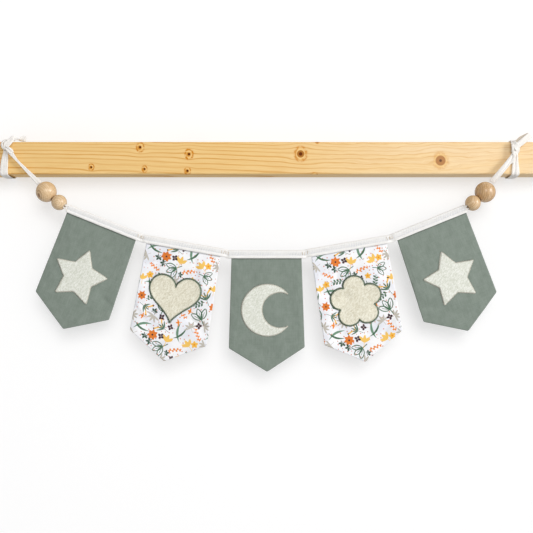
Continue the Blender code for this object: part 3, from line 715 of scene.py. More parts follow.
def tape_finish(name, tint=None, painted_rib_shade=False):
    """White cotton tape. Along the binding the stitches draw it into faint ribs, and painted
    shade greys the band behind the fold at its lower edge, deepest next to the fold and striped
    along the ribs."""
    tape = Finish(name, 0.92, (240, 238, 235), Sheen_Weight=0.06)
    flat = tape.cut()
    height, dye = tape.use("weave", flat, 0.00038, 0.6)
    tape.coat(dye.between(0.30, 0.70), (248, 247, 246))
    if painted_rib_shade:
        x, y, _ = apart(flat)
        below = x.size() * 1000.0
        waver = speckle(flat, (300.0, 160.0, 1.0)) - 0.5
        rib = ((y * 1000.0 + below * 0.3 + waver * 3.0) * (math.tau / RIB_PITCH)).sine()
        band = below.between(0.4, 4.6) * below.between(6.9, 6.1)
        shade_strength = speckle(flat, 45.0).between(0.30, 0.72)
        # Painted shade over the band: grey, striped along the ribs and deeper next to the fold.
        tape.coat(band * (0.18 + (0.08 + 0.42 * shade_strength) * rib.between(-0.9, 0.9)
                          + below.between(4.4, 6.4) * 0.35), (217, 220, 224))
    # Painted shade in the weave's hollows.
    tape.coat(height.between(0.5, 0.1) * 0.22, (206, 200, 192))
    if tint:
        tape.coat(1.0, (*tint, 1.0), "MULTIPLY")
    return tape.done(height, 0.00012, 0.5)


# Knots on the rail's front: x, z, half width and half height of the ring round them, how
# strong that ring is, the size and colour of the brown wood inside it, and the pith's.
Knot = namedtuple("Knot", "x z wide high ring body brown pith core")
DARK_PITH = (84, 26, 0)
KNOTS = (
    Knot(-147.8, 12.5, 4.3, 5.6, 0.9, 0.0, None, 1.50, DARK_PITH),
    Knot(-90.6, 4.4, 4.6, 6.0, 1.0, 0.0, None, 1.55, DARK_PITH),
    Knot(-205.0, -10.8, 3.3, 3.7, 0.9, 0.0, None, 1.25, DARK_PITH),
    Knot(-142.7, -12.9, 3.0, 3.9, 0.9, 0.0, None, 1.25, DARK_PITH),
    Knot(-92.5, -15.1, 3.6, 4.4, 0.9, 0.0, None, 1.40, DARK_PITH),
    Knot(39.9, 4.7, 7.0, 8.0, 0.8, 4.4, (168, 100, 16), 2.30, (104, 46, 0)),
    Knot(203.6, -3.1, 8.6, 9.2, 0.3, 6.0, (176, 120, 74), 1.70, (112, 80, 58)),
    Knot(56.0, -19.6, 3.6, 2.6, 0.8, 0.0, None, 0.00, None),
    Knot(59.8, 19.0, 2.6, 2.2, 0.6, 0.0, None, 1.20, (150, 96, 30)),
)
GRAIN_DROP = 11.0         # the grain falls so far along the rail, and then rises a little
GRAIN_RISE = 5.0


def knot_shades(knot, aside, above, speck):
    """The shades of a knot from the outside in: (share, colour)."""
    away = far(aside / knot.wide, above / knot.high)
    reach = far(aside, above)
    broken = 0.25 + speck.between(0.42, 0.56) * 0.75
    ring = away.between(0.62, 0.90) * away.between(1.34, 1.0) * broken
    shades = [(away.between(1.1, 0.7) * 0.5, (246, 205, 130)), (ring * knot.ring, (204, 126, 12))]
    if knot.body:
        shades.append((reach.between(knot.body * 1.10, knot.body * 0.88) * 0.9, knot.brown))
    elif knot.pith:
        smudge = far(aside + 0.6, above + 0.4)
        shades.append((smudge.between(knot.pith * 2.3, knot.pith * 1.1) * 0.9, (202, 130, 22)))
    if knot.pith:
        shades.append((reach.between(knot.pith * 1.25, knot.pith * 0.65), knot.core))
    return shades


def pine_finish():
    pine = Finish("varnished pine", 0.46, (237, 200, 135), Specular_IOR_Level=0.08)
    x, y, z = (amount * 1000.0 for amount in apart(pine.place()))
    pale = x.between(-50.0, 240.0)
    speck = speckle(together(x, z), 0.24)
    shades = []
    lift = 0.0
    front = y.between(-30.0, -36.0)
    for knot in KNOTS:
        aside, above = x - knot.x, z - knot.z
        shades += knot_shades(knot, aside, above, speck)
        near = (aside / (knot.wide * 2.2)).squared() + (above / (knot.high * 1.5)).squared()
        lift = above * math_node("EXPONENT")(near * -1.0) * front * 0.55 + lift
    swirl = speckle(together(x / 42.0, z / 10.0), 1.0, 2.0, 0.6) - 0.5
    bent = z - lift + swirl * (1.5 + pale * 8.0)
    fall = x.between(-280.0, 130.0) * GRAIN_DROP - x.between(150.0, 340.0) * GRAIN_RISE
    grain = bent + bent.squared() * 0.0105 + fall
    # The middle of the tree lies below the rail's back, and runs along +X.
    turned = together((y + 12.0) * MM, (grain + 96.0) * MM, x * MM)
    late, fibre, patch = pine.use("timber", turned, 0.0050, 0.0011)
    pine.coat(pale, (243, 216, 174))
    pine.coat(patch.between(0.35, 0.75) * 0.45, (243, 209, 148))
    faint = 0.86 - pale * (0.48 + z.between(4.0, -12.0) * 0.34)
    pine.coat(late * faint, (206, 142, 52))
    pine.coat(fibre.between(0.62, 0.34) * 0.22, (212, 154, 70))
    for share, shade in shades:
        pine.coat(share * front, shade)
    return pine.done(late * 0.5 + fibre * 0.3, 0.00012, 0.5, 0.44 + late * 0.12 + fibre * 0.08)


def bead_finish(bead):
    """Bare turned wood; its rings run round the pith's direction."""
    wood = Finish(f"turned wood {bead.node}", 0.36, bead.ground, Coat_Weight=0.7,
                  Coat_Roughness=0.27)
    place = wood.place()
    turn = Vector(bead.pith).to_track_quat("Z", "Y").inverted().to_matrix().to_4x4()
    middle = Vector(bead.centre) * MM + Vector(bead.away) * MM
    turned = scaled(place, (1.0, 1.0, 1.0), turn=turn.to_euler("XYZ"), move=-(turn @ middle))
    late, fibre, patch = wood.use("timber", turned, bead.rings * MM, 0.0006)
    wood.coat(late * 0.80, bead.late)
    wood.coat(fibre.between(0.62, 0.34) * 0.55, bead.late)
    wood.coat(patch.between(0.45, 0.75) * 0.35, (240, 219, 188))
    if bead.node == "bead_left_large":
        x, _, z = apart(place)
        aside, above = x * 1000.0 - BEAD_KNOT[0], z * 1000.0 - BEAD_KNOT[1]
        away = far(aside / 1.5, above / 2.4)
        ring = away.between(1.7, 2.1) * away.between(2.7, 2.3)
        wood.coat(away.between(1.4, 0.7) * 0.85 + ring * 0.5, (130, 86, 40))
    return wood.done(late * 0.4 + fibre * 0.4, 0.00010, 0.5, 0.42 + late * 0.10 + fibre * 0.08)


# ---- Pieces
def add_object(name, data):
    thing = bpy.data.objects.new(name, data)
    bpy.context.scene.collection.objects.link(thing)
    return thing


def add_mesh(name, bm, finish):
    mesh = bpy.data.meshes.new(name)
    bm.to_mesh(mesh)
    bm.free()
    mesh.materials.append(finish)
    return add_object(name, mesh)


def add_piece(name, bm, finish, slot, node):
    """A finished piece that rides on the rail's body and stands for the named node."""
    piece = add_mesh(name, bm, finish)
    piece.data.shade_smooth()
    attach(piece, "root")
    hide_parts(node)
    return piece


def share_of(value):
    """The value, held between 0 and 1."""
    return min(max(value, 0.0), 1.0)


def smooth_step(value):
    value = share_of(value)
    return value * value * (3.0 - 2.0 * value)


def polar(reach, angle):
    return Vector((reach * math.cos(angle), reach * math.sin(angle)))


def crossing(columns, rows, place, cut):
    """A grid of cloth. place(u, v) gives each point and cut(u, v) its place on the cut."""
    bm = bmesh.new()
    bmesh.ops.create_grid(bm, x_segments=columns, y_segments=rows, size=0.5)
    layer = bm.loops.layers.uv.new("UVMap")
    for face in bm.faces:
        for loop in face.loops:
            loop[layer].uv = cut(loop.vert.co.x + 0.5, loop.vert.co.y + 0.5)
    for vertex in bm.verts:
        vertex.co = place(vertex.co.x + 0.5, vertex.co.y + 0.5)
    return bm


def two_faced(grid, face_point, cut):
    """The front and the back of a piece of cloth, where face_point's side is 1 and -1."""
    bm, back = (crossing(*grid, lambda u, v, side=side: face_point(u, v, side), cut)
                for side in (1.0, -1.0))
    bmesh.ops.reverse_faces(back, faces=back.faces)
    spare = bpy.data.meshes.new("spare")
    back.to_mesh(spare)
    back.free()
    bm.from_mesh(spare)
    bpy.data.meshes.remove(spare)
    return bm


def reach_along(points):
    """How far along a line each of its points lies."""
    reach = [0.0]
    for a, b in zip(points, points[1:]):
        reach.append(reach[-1] + math.dist(a, b))
    return reach


def thread_piece(name, runs, thickness, finish, slot, node, closed=False):
    """Thread sewn along each run of points, as one mesh."""
    curve = bpy.data.curves.new(name, "CURVE")
    curve.dimensions = "3D"
    curve.bevel_depth = thickness * MM / 2.0
    curve.bevel_resolution = 1
    curve.use_fill_caps = True
    for run in runs:
        spline = curve.splines.new("POLY")
        spline.points.add(len(run) - 1)
        for point, place in zip(spline.points, run):
            point.co = (*place, 1.0)
        spline.use_cyclic_u = closed
    holder = add_object(name + "_run", curve)
    bpy.context.view_layer.update()
    mesh = bpy.data.meshes.new_from_object(holder.evaluated_get(
        bpy.context.evaluated_depsgraph_get()))
    bpy.data.objects.remove(holder, do_unlink=True)
    bm = bmesh.new()
    bm.from_mesh(mesh)
    bpy.data.meshes.remove(mesh)
    bmesh.ops.remove_doubles(bm, verts=bm.verts, dist=1e-7)
    add_piece(name, bm, finish, slot, node)


# ---- Pennants
def stand_off(pennant, x, drop):
    """How far the cloth stands towards the viewer there, in millimetres."""
    depth = pennant.swing * (drop / pennant.tip[1]) ** 2
    depth -= pennant.bow * (x / pennant.half_top) ** 2
    for x0, drop0, x1, drop1, half, rise in FOLDS[pennant.node]:
        run_x, run_drop = x1 - x0, drop1 - drop0
        along = share_of(((x - x0) * run_x + (drop - drop0) * run_drop)
                         / (run_x ** 2 + run_drop ** 2))
        away = math.hypot(x - x0 - along * run_x, drop - drop0 - along * run_drop)
        depth += rise * math.exp(-(away / half) ** 2)
    ripple = noise.noise(Vector((x / 13.0, drop / 17.0, pennant.mid_x))) * 0.30
    ripple += noise.noise(Vector((x / 5.0, drop / 6.0, pennant.mid_x))) * 0.07
    return (depth + ripple) * smooth_step(drop / FOLD_START)


class Cut:
    """A pennant's flat cut, with corners that aren't quite sharp once they are turned."""

    def __init__(self, pennant):
        self.pennant = pennant
        corners = [Vector(corner) for corner in (
            (-pennant.half_top, 0.0), pennant.left, pennant.tip, pennant.right,
            (pennant.half_top, 0.0))]
        self.edges = [(Vector((0.0, -TUCK)), Vector((0.0, 1.0)))]
        for start, end in zip(corners, corners[1:]):
            run = (end - start).normalized()
            self.edges.append((start, Vector((run.y, -run.x))))
        self.rounds = []
        for before, corner, after in zip(corners, corners[1:], corners[2:]):
            one, two = (before - corner).normalized(), (after - corner).normalized()
            inward = (one + two).normalized()
            half = one.angle(two) / 2.0
            self.rounds.append((corner + inward * CORNER_RADIUS / math.sin(half), -inward,
                                math.pi / 2.0 - half))

    def settle(self, point):
        """Where a point of the sharp cut ends up, and how far inside the rim that is."""
        inside = min((point - start).dot(inward) for start, inward in self.edges)
        for centre, outward, span in self.rounds:
            arm = point - centre
            if arm.length < 0.01 or arm.angle(outward) >= span:
                continue
            limit = CORNER_RADIUS / math.cos(span - arm.angle(outward))
            start = CORNER_RADIUS * 0.3
            if arm.length > start:
                reach = start + (arm.length - start) * (CORNER_RADIUS - start) / (limit - start)
                point = centre + arm * reach / arm.length
                inside = CORNER_RADIUS - reach
        return point, max(inside, 0.0)

    def at(self, u, v):
        """(point, how far inside the rim); the grid's points crowd towards the edges."""
        pennant = self.pennant
        across = 2.0 * u - 1.0
        across *= 1.0 + 0.33 * (1.0 - across * across)
        down = 1.0 - v
        down += 0.6 * down * (1.0 - down)
        head = TUCK / pennant.tip[1]
        down = down * (1.0 + head) - head
        low = max(down, 0.0)
        shoulder = Vector(pennant.right if across > 0.0 else pennant.left)
        foot = Vector(pennant.tip).lerp(shoulder, abs(across))
        x = pennant.half_top * across * (1.0 - low) + foot.x * low
        point, inside = self.settle(Vector((x, foot.y * low if down > 0.0
                                            else pennant.tip[1] * down)))
        return point, (0.0 if min(u, 1.0 - u, v, 1.0 - v) < 1e-4 else inside)


def half_thickness(inside):
    """From the middle of a pennant to its face, in millimetres."""
    edge = min(inside / CLOTH_EDGE, 1.0)
    seam = ALLOWANCE_RISE * smooth_step((ALLOWANCE - inside) / ALLOWANCE_STEP + 0.5)
    full = CLOTH_HALF + seam + SLACK * smooth_step(inside / SLACK_REACH)
    return full * math.sqrt(1.0 - (1.0 - edge) ** 2)


def pennant_place(pennant):
    turn = Matrix.Rotation(math.radians(-pennant.tilt), 4, "Y")
    return Matrix.Translation((pennant.mid_x * MM, CLOTH_Y * MM, pennant.mid_z * MM)) @ turn


def pennant_face(cut, x, drop, over):
    """A point so far over the pennant's front face, in the frame."""
    inside = cut.settle(Vector((x, drop)))[1]
    out = stand_off(cut.pennant, x, drop) + half_thickness(inside) + over
    return pennant_place(cut.pennant) @ Vector((x * MM, -out * MM, -drop * MM))


def make_pennant(pennant, finish, slot):
    cut = Cut(pennant)
    place = pennant_place(pennant)

    def face_point(u, v, side):
        point, inside = cut.at(u, v)
        depth = stand_off(pennant, point.x, point.y) + side * half_thickness(inside)
        return place @ Vector((point.x * MM, -depth * MM, -point.y * MM))

    def on_cut(u, v):
        point = cut.at(u, v)[0]
        return (point.x * MM, -point.y * MM)

    bm = two_faced(CLOTH_GRID, face_point, on_cut)
    rim = [vertex for vertex in bm.verts if vertex.is_boundary]
    bmesh.ops.remove_doubles(bm, verts=rim, dist=1e-6)
    piece = add_piece(f"cloth_{pennant.node}", bm, finish, slot, pennant.node)
    top = pennant.half_top
    wide = max(pennant.right[0], top) - min(pennant.left[0], -top)


# ---- Felt motifs. A rim runs from 0 to 1 round its motif, in shares of its size
def star_rim(share):
    """Five points, a little blunt."""
    step, part = divmod(share * 10.0, 1.0)
    here, there = (polar(0.5 if corner % 2 == 0 else 0.27, math.radians(90.0 + 36.0 * corner))
                   for corner in (step, step + 1))
    point = here.lerp(there, part)
    over = max(point.length - 0.485, 0.0)
    return point * (1.0 - over * 0.6 / point.length)


def heart_rim(share):
    angle = math.tau * (share + 0.5)
    x = 16.0 * math.sin(angle) ** 3
    z = 13.0 * math.cos(angle) - 5.0 * math.cos(2 * angle) - 2.0 * math.cos(3 * angle)
    return Vector((-x / 32.0, (z - math.cos(4 * angle) + 2.5) / 32.0))


def blossom_rim(share):
    """Five round petals."""
    angle = math.tau * share
    petal = abs(math.cos(2.5 * (angle - math.pi / 2))) ** 0.7
    return polar(0.5 * (0.68 + 0.32 * petal), angle)


MOON_OPENING = math.radians(38.0)
MOON_SHIFT = 0.24


def moon_outer(share):
    """From horn to horn along the outer arc."""
    return polar(0.5, MOON_OPENING + (math.tau - 2.0 * MOON_OPENING) * share)


def moon_inner(share):
    """From horn to horn along the inner arc."""
    shift = Vector((MOON_SHIFT, 0.0))
    horn = moon_outer(0.0) - shift
    start = math.atan2(horn.y, horn.x)
    return shift + polar(horn.length, start + (math.tau - 2.0 * start) * share)


def moon_rim(share):
    if share < 0.5:
        return moon_outer(share * 2.0)
    return moon_inner(2.0 - share * 2.0)


def evenly(curve, fine=4000):
    """A curve read evenly by its length, from 0 to 1."""
    points = [curve(step / fine) for step in range(fine)]
    points.append(points[0])
    reach = reach_along(points)

    def at(share):
        target = share * reach[-1]
        index = min(max(bisect(reach, target) - 1, 0), fine - 1)
        span = max(reach[index + 1] - reach[index], 1e-9)
        return points[index].lerp(points[index + 1], min((target - reach[index]) / span, 1.0))

    return at


RIM_CURVES = {"star": evenly(star_rim), "heart": evenly(heart_rim),
              "blossom": evenly(blossom_rim), "moon": evenly(moon_rim)}


def motif_point(motif, u, v):
    """A point of the motif, as shares of its size; u runs across it and v round it, and
    the points crowd towards the rim."""
    if motif.outline == "moon":
        across = 2.0 * u - 1.0
        across = 0.5 + 0.5 * across * (1.0 + 0.4 * (1.0 - abs(across)))
        return moon_outer(v).lerp(moon_inner(v), across)
    return RIM_CURVES[motif.outline](v % 1.0) * u * (1.5 - 0.5 * u)


def felt_height(inside):
    """The felt over the cloth, so far inside its rim, in millimetres."""
    edge = min(inside / FELT_EDGE, 1.0)
    return FELT_FOOT + (FELT_RISE - FELT_FOOT) * math.sqrt(1.0 - (1.0 - edge) ** 2)


def make_motif(motif, finish, slot):
    pennant = PENNANTS[motif.pennant]
    base = Cut(pennant)
    moon = motif.outline == "moon"
    curve = RIM_CURVES[motif.outline]
    rim_points = 2400
    tree = kdtree.KDTree(rim_points)
    for step in range(rim_points):
        tree.insert((curve(step / rim_points) * motif.size).to_3d(), step)
    tree.balance()

    def face_point(u, v, side):
        point = motif_point(motif, u, v) * motif.size
        inside = tree.find(point.to_3d())[2]
        x, drop = motif.across + point.x, motif.drop - point.y
        shag = noise.noise(Vector((x * 1.9, drop * 1.9, 3.0))) * 0.07
        shag += noise.noise(Vector((x * 0.5 + drop * 0.4, drop * 0.2, 7.0))) * 0.10
        height = felt_height(inside) + shag * smooth_step(inside / FELT_EDGE)
        if side < 0.0:
            height = FELT_BACK
        if u > 0.9999 or (moon and u < 0.0001):
            height = FELT_SEAM
        return pennant_face(base, x, drop, height)

    bm = two_faced(MOON_GRID if moon else FELT_GRID, face_point,
                   lambda u, v: motif_point(motif, u, v) * motif.size * MM)
    bmesh.ops.remove_doubles(bm, verts=bm.verts, dist=0.00001)
    bmesh.ops.dissolve_degenerate(bm, edges=bm.edges, dist=1e-7)
    bmesh.ops.recalc_face_normals(bm, faces=bm.faces)
    piece = add_piece(f"felt_{motif.node}", bm, finish, slot, motif.node)
    points = [curve(step / 400.0) * motif.size for step in range(400)]
    wide, high = (max(line) - min(line) for line in zip(*points))


def make_rim(motif, finish, slot):
    """The zigzag of thread that sews a motif's rim down."""
    base = Cut(PENNANTS[motif.pennant])
    rim = RIMS[motif.rim]
    steps = 1600
    points = [RIM_CURVES[motif.outline](step / steps) * motif.size for step in range(steps)]
    points.append(points[0])
    reach = reach_along(points)
    count = int(reach[-1] / rim.pitch)
    draw = random.Random(motif.node)
    run = []
    index = 0
    for stitch in range(count):
        target = stitch * reach[-1] / count
        while reach[index + 1] < target:
            index += 1
        here = points[index]
        along = (points[index + 1] - here).normalized()
        outward = Vector((along.y, -along.x))
        if outward.dot(here) < 0.0 and motif.outline != "moon":
            outward.negate()
        sway = math.sin(target / RIM_SWAY) * rim.waver * 0.5
        for side, slip in RIM_STITCH:
            wide = side * (rim.width + draw.uniform(-1.0, 1.0) * rim.waver) + sway
            place = here + outward * wide + along * rim.pitch * (slip + draw.uniform(-0.1, 0.1))
            over = felt_height(-wide) * 0.9 if wide < 0.0 else FELT_FOOT
            if abs(side) == 0.5:
                over -= 0.05
            run.append(pennant_face(base, motif.across + place.x, motif.drop - place.y,
                                    over + rim.thread * 0.35))
    thread_piece(f"stitches_{motif.node}", [run], rim.thread, finish, slot, motif.node,
                 closed=True)


# ---- Beads
def make_bead(bead):
    """A ball with a countersunk bore, turned about its own axis."""
    mouth = BORE_RADIUS + BORE_MOUTH
    mouth_angle = math.acos(mouth / bead.radius)
    bore_end = bead.radius * math.sin(mouth_angle) - BORE_MOUTH
    chamfer = ((BORE_RADIUS + mouth) / 2.0 - 0.06, bore_end + BORE_MOUTH / 2.0 + 0.10)
    ball_end = mouth_angle - math.radians(BEAD_EASE)
    angles = [ball_end * (1.0 - 2.0 * step / BEAD_ARC) for step in range(BEAD_ARC + 1)]
    profile = [(BORE_RADIUS, -bore_end), (BORE_RADIUS, bore_end), chamfer,
               *((bead.radius * math.cos(a), bead.radius * math.sin(a)) for a in angles),
               (chamfer[0], -chamfer[1])]
    bm = bmesh.new()
    points = [bm.verts.new((r * MM, 0.0, z * MM)) for r, z in profile]
    outline = [bm.edges.new((a, b)) for a, b in zip(points, points[1:] + points[:1])]
    bmesh.ops.spin(bm, geom=points + outline, cent=(0, 0, 0), axis=(0, 0, 1),
                   angle=math.tau, steps=BEAD_ROUND, use_merge=True)
    bmesh.ops.recalc_face_normals(bm, faces=bm.faces)
    turn = Vector(bead.axis).to_track_quat("Z", "Y").to_matrix().to_4x4()
    bmesh.ops.transform(bm, matrix=Matrix.Translation(Vector(bead.centre) * MM) @ turn,
                        verts=bm.verts)
    piece = add_piece(f"turned_{bead.node}", bm, bead_finish(bead), "bead_wood", bead.node)
    piece.data.set_sharp_from_angle(angle=math.radians(50.0))


# ---- Tape
class Run:
    """A smooth run of the tape through its sections, read at a distance along it."""

    def __init__(self, sections):
        self.rows = [(*row[:5], *(row[5:] or FRONT)) for row in sections]
        self.reach = reach_along([row[:3] for row in self.rows])
        self.slopes = [self.slope(index) for index in range(len(self.rows))]

    def slope(self, index):
        """How each value changes there, from its neighbours."""
        first, last = max(index - 1, 0), min(index + 1, len(self.rows) - 1)
        span = self.reach[last] - self.reach[first]
        return [(b - a) / span for a, b in zip(self.rows[first], self.rows[last])]

    def at(self, distance):
        """(middle, width, thick, face, along) at that distance."""
        index = min(max(bisect(self.reach, distance) - 1, 0), len(self.reach) - 2)
        span = self.reach[index + 1] - self.reach[index]
        t = share_of((distance - self.reach[index]) / span)
        values, along = [], []
        for a, b, m, n in zip(self.rows[index], self.rows[index + 1], self.slopes[index],
                              self.slopes[index + 1]):
            values.append((2 * t ** 3 - 3 * t ** 2 + 1) * a + (t ** 3 - 2 * t ** 2 + t) * span * m
                          + (3 * t ** 2 - 2 * t ** 3) * b + (t ** 3 - t ** 2) * span * n)
            along.append((6 * t ** 2 - 6 * t) * (a - b) / span + (3 * t ** 2 - 4 * t + 1) * m
                         + (3 * t ** 2 - 2 * t) * n)
        along = Vector(along[:3]).normalized()
        face = Vector(values[5:])
        face = (face - along * face.dot(along)).normalized()
        return Vector(values[:3]), values[3], values[4], face, along


def make_strip(name, sections, finish, seed):
    """A length of the folded tape, pressed flat and creased."""
    run = Run(sections)
    length = run.reach[-1]

    def place(u, v):
        middle, width, thick, face, along = run.at(v * length)
        aside, out = math.cos(math.tau * u), math.sin(math.tau * u)
        level = math.sqrt(max(1.0 - aside ** 6, 0.0)) * (1.0 if out >= 0.0 else -1.0)
        rise = thick / 2.0 * level
        if out > 0.0:
            for start, start_side, end, end_side, half, height in CREASES.get(name, ()):
                share = share_of((v - start) / (end - start))
                line = start_side + (end_side - start_side) * share
                fade = math.exp(-((v - (start + (end - start) * share)) * length / 2.0) ** 2)
                away = (aside - line) * width / 2.0
                rise += height * math.exp(-(away / half) ** 2) * fade * level
            rise += noise.noise(Vector((aside * 2.2, v * length / 3.4, seed))) * 0.16 * level
        across = along.cross(face)
        return (middle + across * (aside * width / 2.0) + face * rise) * MM

    bm = crossing(STRIP_COLUMNS, max(int(length / STRIP_STEP), 6), place, lambda u, v: (
        math.cos(math.tau * u) * TAPE_WIDTH / 2.0 * MM, v * length * MM))
    bmesh.ops.remove_doubles(bm, verts=bm.verts, dist=1e-6)
    bmesh.ops.holes_fill(bm, edges=[e for e in bm.edges if e.is_boundary], sides=0)
    bmesh.ops.recalc_face_normals(bm, faces=bm.faces)
    piece = add_piece(name, bm, finish, "tape_cotton", "tape")
    mean = sum(run.at(length * part / 20.0)[1] for part in range(21)) / 21
    wide, long = max(mean, LEAST_CUT), max(length, LEAST_CUT)


def hoop_sections(edge_x):
    """From the front of the rail under it, up behind it and over it."""
    bend = RAIL_EDGE + TIE_CLEAR + TAPE_THICK / 2.0
    low, high = -RAIL_HALF + RAIL_EDGE, RAIL_HALF - RAIL_EDGE
    front, back = -2.0 * RAIL_HALF + RAIL_EDGE, -RAIL_EDGE
    edges = ((front, low, 180.0), (back, low, 270.0), (back, high, 0.0), (front, high, 90.0))
    sections = []
    for x, (y, z, start) in zip(edge_x, edges):
        if start == 270.0:
            sections.append(((edge_x[0] + x) / 2.0, -RAIL_HALF, low - bend - HOOP_SAG,
                             TAPE_WIDTH, TAPE_THICK, 0.0, 0.0, -1.0))
        for turned in (0.0, 45.0, 90.0):
            face_y, face_z = (wave(math.radians(start + turned)) for wave in (math.cos, math.sin))
            sections.append((x, y + bend * face_y, z + bend * face_z, TAPE_WIDTH, TAPE_THICK,
                             0.0, face_y, face_z))
    return sections


def binding_sections():
    """The binding along the top lines of the pennants. Its thickness is 1 where it is
    open over a pennant and less where it is shut between two."""
    sections = []
    for pennant in PENNANTS:
        turn = math.radians(pennant.tilt)
        reach = pennant.half_top + 1.0
        places = [(reach * part, 1.0) for part in (-1.0, -0.5, 0.0, 0.5, 1.0)]
        if pennant is not PENNANTS[0]:
            places.insert(0, (-reach - BINDING_GAP, BINDING_SHUT))
        if pennant is not PENNANTS[-1]:
            places.append((reach + BINDING_GAP, BINDING_SHUT))
        for away, open_share in places:
            sections.append((pennant.mid_x + math.cos(turn) * away, CLOTH_Y,
                             pennant.mid_z + math.sin(turn) * away, TAPE_WIDTH, open_share))
    return sections


def binding_point(run, distance, profile, share):
    """A point of the binding: share -1 to 0 is its front leaf and 0 to 1 its back one."""
    middle, _, open_share, face, along = run.at(distance)
    up = face.cross(along)
    step = (1.0 - abs(share)) * (len(profile) - 1)
    index = min(int(step), len(profile) - 2)
    out, height = Vector(profile[index]).lerp(Vector(profile[index + 1]), step - index)
    band = smooth_step((height - 3.3) / 0.8) * smooth_step((9.2 - height) / 1.2)
    rib = math.sin(math.tau * (distance + height * 0.35) / RIB_PITCH
                   + 1.4 * noise.noise(Vector((distance / 9.0, 0.0, 0.0))))
    drawn = noise.noise(Vector((distance / 2.1, height / 2.6, 5.0)))
    out = out * open_share + (rib * RIB_RISE + drawn * 0.16) * band
    out += 0.10 * noise.noise(Vector((distance / 7.0, height / 6.0, 1.0)))
    sign = -1.0 if share < 0.0 else 1.0
    height += 0.16 * noise.noise(Vector((distance / 16.0, 0.0, 2.0)))
    return middle + up * height - face * out * sign


def make_binding(finish):
    """The folded binding; its run, and its profile as a smooth line of points."""
    run = Run(binding_sections())
    length = run.reach[-1]
    rim = Run([(out, height, 0.0, 1.0, 1.0) for out, height in BINDING_PROFILE])
    profile = [tuple(rim.at(rim.reach[-1] * step / PROFILE_STEPS)[0][:2])
               for step in range(PROFILE_STEPS + 1)]
    bm = crossing(2 * PROFILE_STEPS, int(length / BINDING_STEP),
                  lambda u, v: binding_point(run, v * length, profile, 2.0 * u - 1.0) * MM,
                  lambda u, v: ((u - 0.5) * BINDING_CUT * MM, v * length * MM))
    bmesh.ops.recalc_face_normals(bm, faces=bm.faces)
    piece = add_piece("tape_binding", bm, finish, "tape_cotton", "tape")
    modifier = piece.modifiers.new("thickness", "SOLIDIFY")
    modifier.thickness = TAPE_LEAF * MM
    modifier.offset = 0.0
    modifier.use_even_offset = False
    reach_along(profile)[-1] * 2.0 * MM
    return run, profile


def make_binding_stitches(run, profile, finish, tack_finish):
    """A loose zigzag in the tape's own white along the binding, and the beige tacks that
    hold it shut between two pennants."""
    length = run.reach[-1]

    def on_front(distance, height):
        """A point on the front leaf, above its hem."""
        index = min(range(HEM_STEPS, PROFILE_STEPS + 1),
                    key=lambda number: abs(profile[number][1] - height))
        point = binding_point(run, distance, profile, index / PROFILE_STEPS - 1.0)
        return (point + FRONT * THREAD_LIFT) * MM

    draw = random.Random(5)
    zigzag = []
    distance = ZIGZAG_END
    while distance < length - ZIGZAG_END:
        height = ZIGZAG[len(zigzag) % 2] + draw.uniform(-0.4, 0.4)
        zigzag.append(on_front(distance, height))
        distance += RIB_PITCH / 2.0 + draw.uniform(-0.2, 0.2)
    thread_piece("stitches_binding", [zigzag], ZIGZAG_THICK, finish, "tape_cotton", "tape")
    tacks = []
    tried = [length * step / 900.0 for step in range(901)]
    for pennant in PENNANTS[:-1]:
        edge_x = pennant.mid_x + math.cos(math.radians(pennant.tilt)) * pennant.half_top
        near = min(tried, key=lambda distance: abs(run.at(distance)[0].x - edge_x))
        for slant in (-0.5, 0.9, -0.5, 0.9):
            start = near + 1.0
            near += TACK_PITCH
            tacks.append([on_front(start + slant * part, TACK_FOOT + TACK_HEIGHT * part)
                          + FRONT * 0.05 * MM for part in (0.0, 0.35, 0.7, 1.0)])
    thread_piece("stitches_tacks", tacks, TACK_THICK, tack_finish, "tape_cotton", "tape")


# ---- Stage
def stage_finish(name, colour, bounce, lift):
    """A surface that shows only its front. The camera sees it matt with a share of glow.
    To the pieces it is a soft even light, so that their backs are lit too."""
    material = bpy.data.materials.new(name)
    material.use_nodes = True
    tree = material.node_tree
    tree.nodes.clear()

    def blend(share, first, second):
        return add(tree, "MixShader", {0: share, 1: first, 2: second}).outputs[0]

    matt, white, soft, clear = (add(tree, kind, inputs).outputs[0] for kind, inputs in (
        ("BsdfDiffuse", {"Color": colour}), ("Emission", {"Color": colour, "Strength": GLOW}),
        ("Emission", {"Color": colour, "Strength": bounce}), ("BsdfTransparent", None)))
    seen = blend(add(tree, "LightPath").outputs["Is Camera Ray"], soft,
                 blend(lift, matt, white))
    whole = blend(add(tree, "NewGeometry").outputs["Backfacing"], seen, clear)
    add(tree, "OutputMaterial", {0: whole})
    return material


def add_plane(name, matrix, finish):
    bm = bmesh.new()
    bmesh.ops.create_grid(bm, x_segments=1, y_segments=1, size=PLANE_HALF, matrix=matrix)
    plane = add_mesh(name, bm, finish)
    return plane


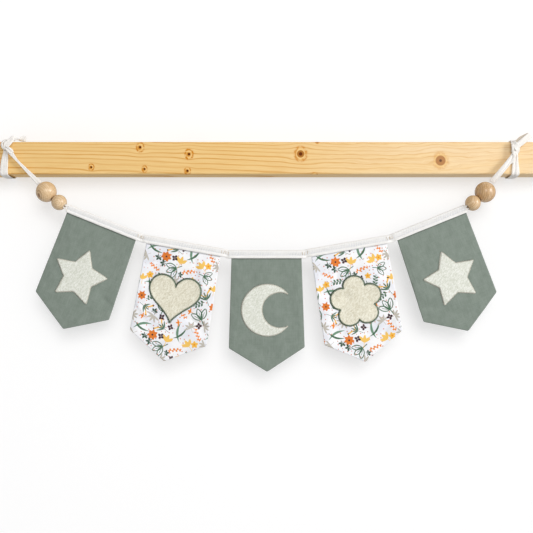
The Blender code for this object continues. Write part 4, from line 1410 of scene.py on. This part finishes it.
def make_stage():
    upright = Matrix.Translation((0.0, WALL_GAP * MM, 0.0)) @ Matrix.Rotation(math.pi / 2, 4, "X")
    wall = add_plane("wall", upright, stage_finish("white wall", *WALL))
    add_plane("floor", Matrix.Translation((0.0, 0.0, FLOOR_Z)),
              stage_finish("pale floor", *FLOOR))
    for name, (place, target, size, power, lights) in LAMPS.items():
        lamp = bpy.data.lights.new(name, "AREA")
        lamp.shape = "SQUARE"
        lamp.size = size
        lamp.energy = power
        holder = add_object(name, lamp)
        holder.location = place
        aim = Vector(target) - Vector(place)
        holder.rotation_euler = aim.to_track_quat("-Z", "Y").to_euler()
        if lights != "everything":
            lit = bpy.data.collections.new(f"reach of the {name} lamp")
            lit.objects.link(wall)
            lit.collection_objects[0].light_linking.link_state = (
                "INCLUDE" if lights == "the wall alone" else "EXCLUDE")
            holder.light_linking.receiver_collection = lit
    world = bpy.data.worlds.new("studio")
    world.use_nodes = True
    room = world.node_tree.nodes["Background"].inputs
    room["Color"].default_value, room["Strength"].default_value = ROOM
    scene = bpy.context.scene
    scene.world = world
    scene.view_settings.view_transform = "Standard"
    camera = bpy.data.cameras.new("camera")
    camera.lens = CAMERA_LENS
    camera.sensor_width = 36.0
    camera.clip_start = 0.01
    holder = add_object("camera", camera)
    holder.location = CAMERA_PLACE
    holder.rotation_euler = (math.pi / 2.0, 0.0, 0.0)
    scene.camera = holder


def main():
    make_stage()
    cloths = {"sage": (sage_finish(), "sage_cotton"), "print": (print_finish(), "print_cotton")}
    for pennant in PENNANTS:
        make_pennant(pennant, *cloths[pennant.cloth])
    sewn = {
        "cream": (felt_finish("white felt", (239, 240, 233), (208, 211, 197)),
                  thread_finish("cream thread", (240, 238, 228), (216, 210, 192))),
        "green": (felt_finish("cream felt", (240, 237, 221), (212, 206, 183)),
                  thread_finish("green thread", (122, 142, 118), (84, 104, 80))),
    }
    for motif in MOTIFS:
        felt, thread = sewn[motif.rim]
        make_motif(motif, felt, "cream_felt")
        make_rim(motif, thread, "cream_felt")
    for bead in BEADS:
        make_bead(bead)
    run, profile = make_binding(tape_finish("ribbed cotton tape", painted_rib_shade=True))
    make_binding_stitches(run, profile,
                          thread_finish("white thread", (244, 242, 238), (222, 217, 208)),
                          thread_finish("beige thread", (222, 209, 192), (190, 172, 150)))
    tape = tape_finish("cotton tape", (0.985, 0.966, 0.942))
    # A darker copy of the tape: painted shade on the tail's inner layer.
    inside = tape_finish("tape in painted shade", (0.76, 0.67, 0.56))
    for number, (name, sections) in enumerate(STRIPS.items()):
        if name in HOOP_EDGES:
            sections = [*sections, *hoop_sections(HOOP_EDGES[name])]
        make_strip(name, sections, inside if name == "tape_tail_inside" else tape, float(number))
    pine = pine_finish()
    for material_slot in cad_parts["rail"].material_slots:
        material_slot.material = pine


main()
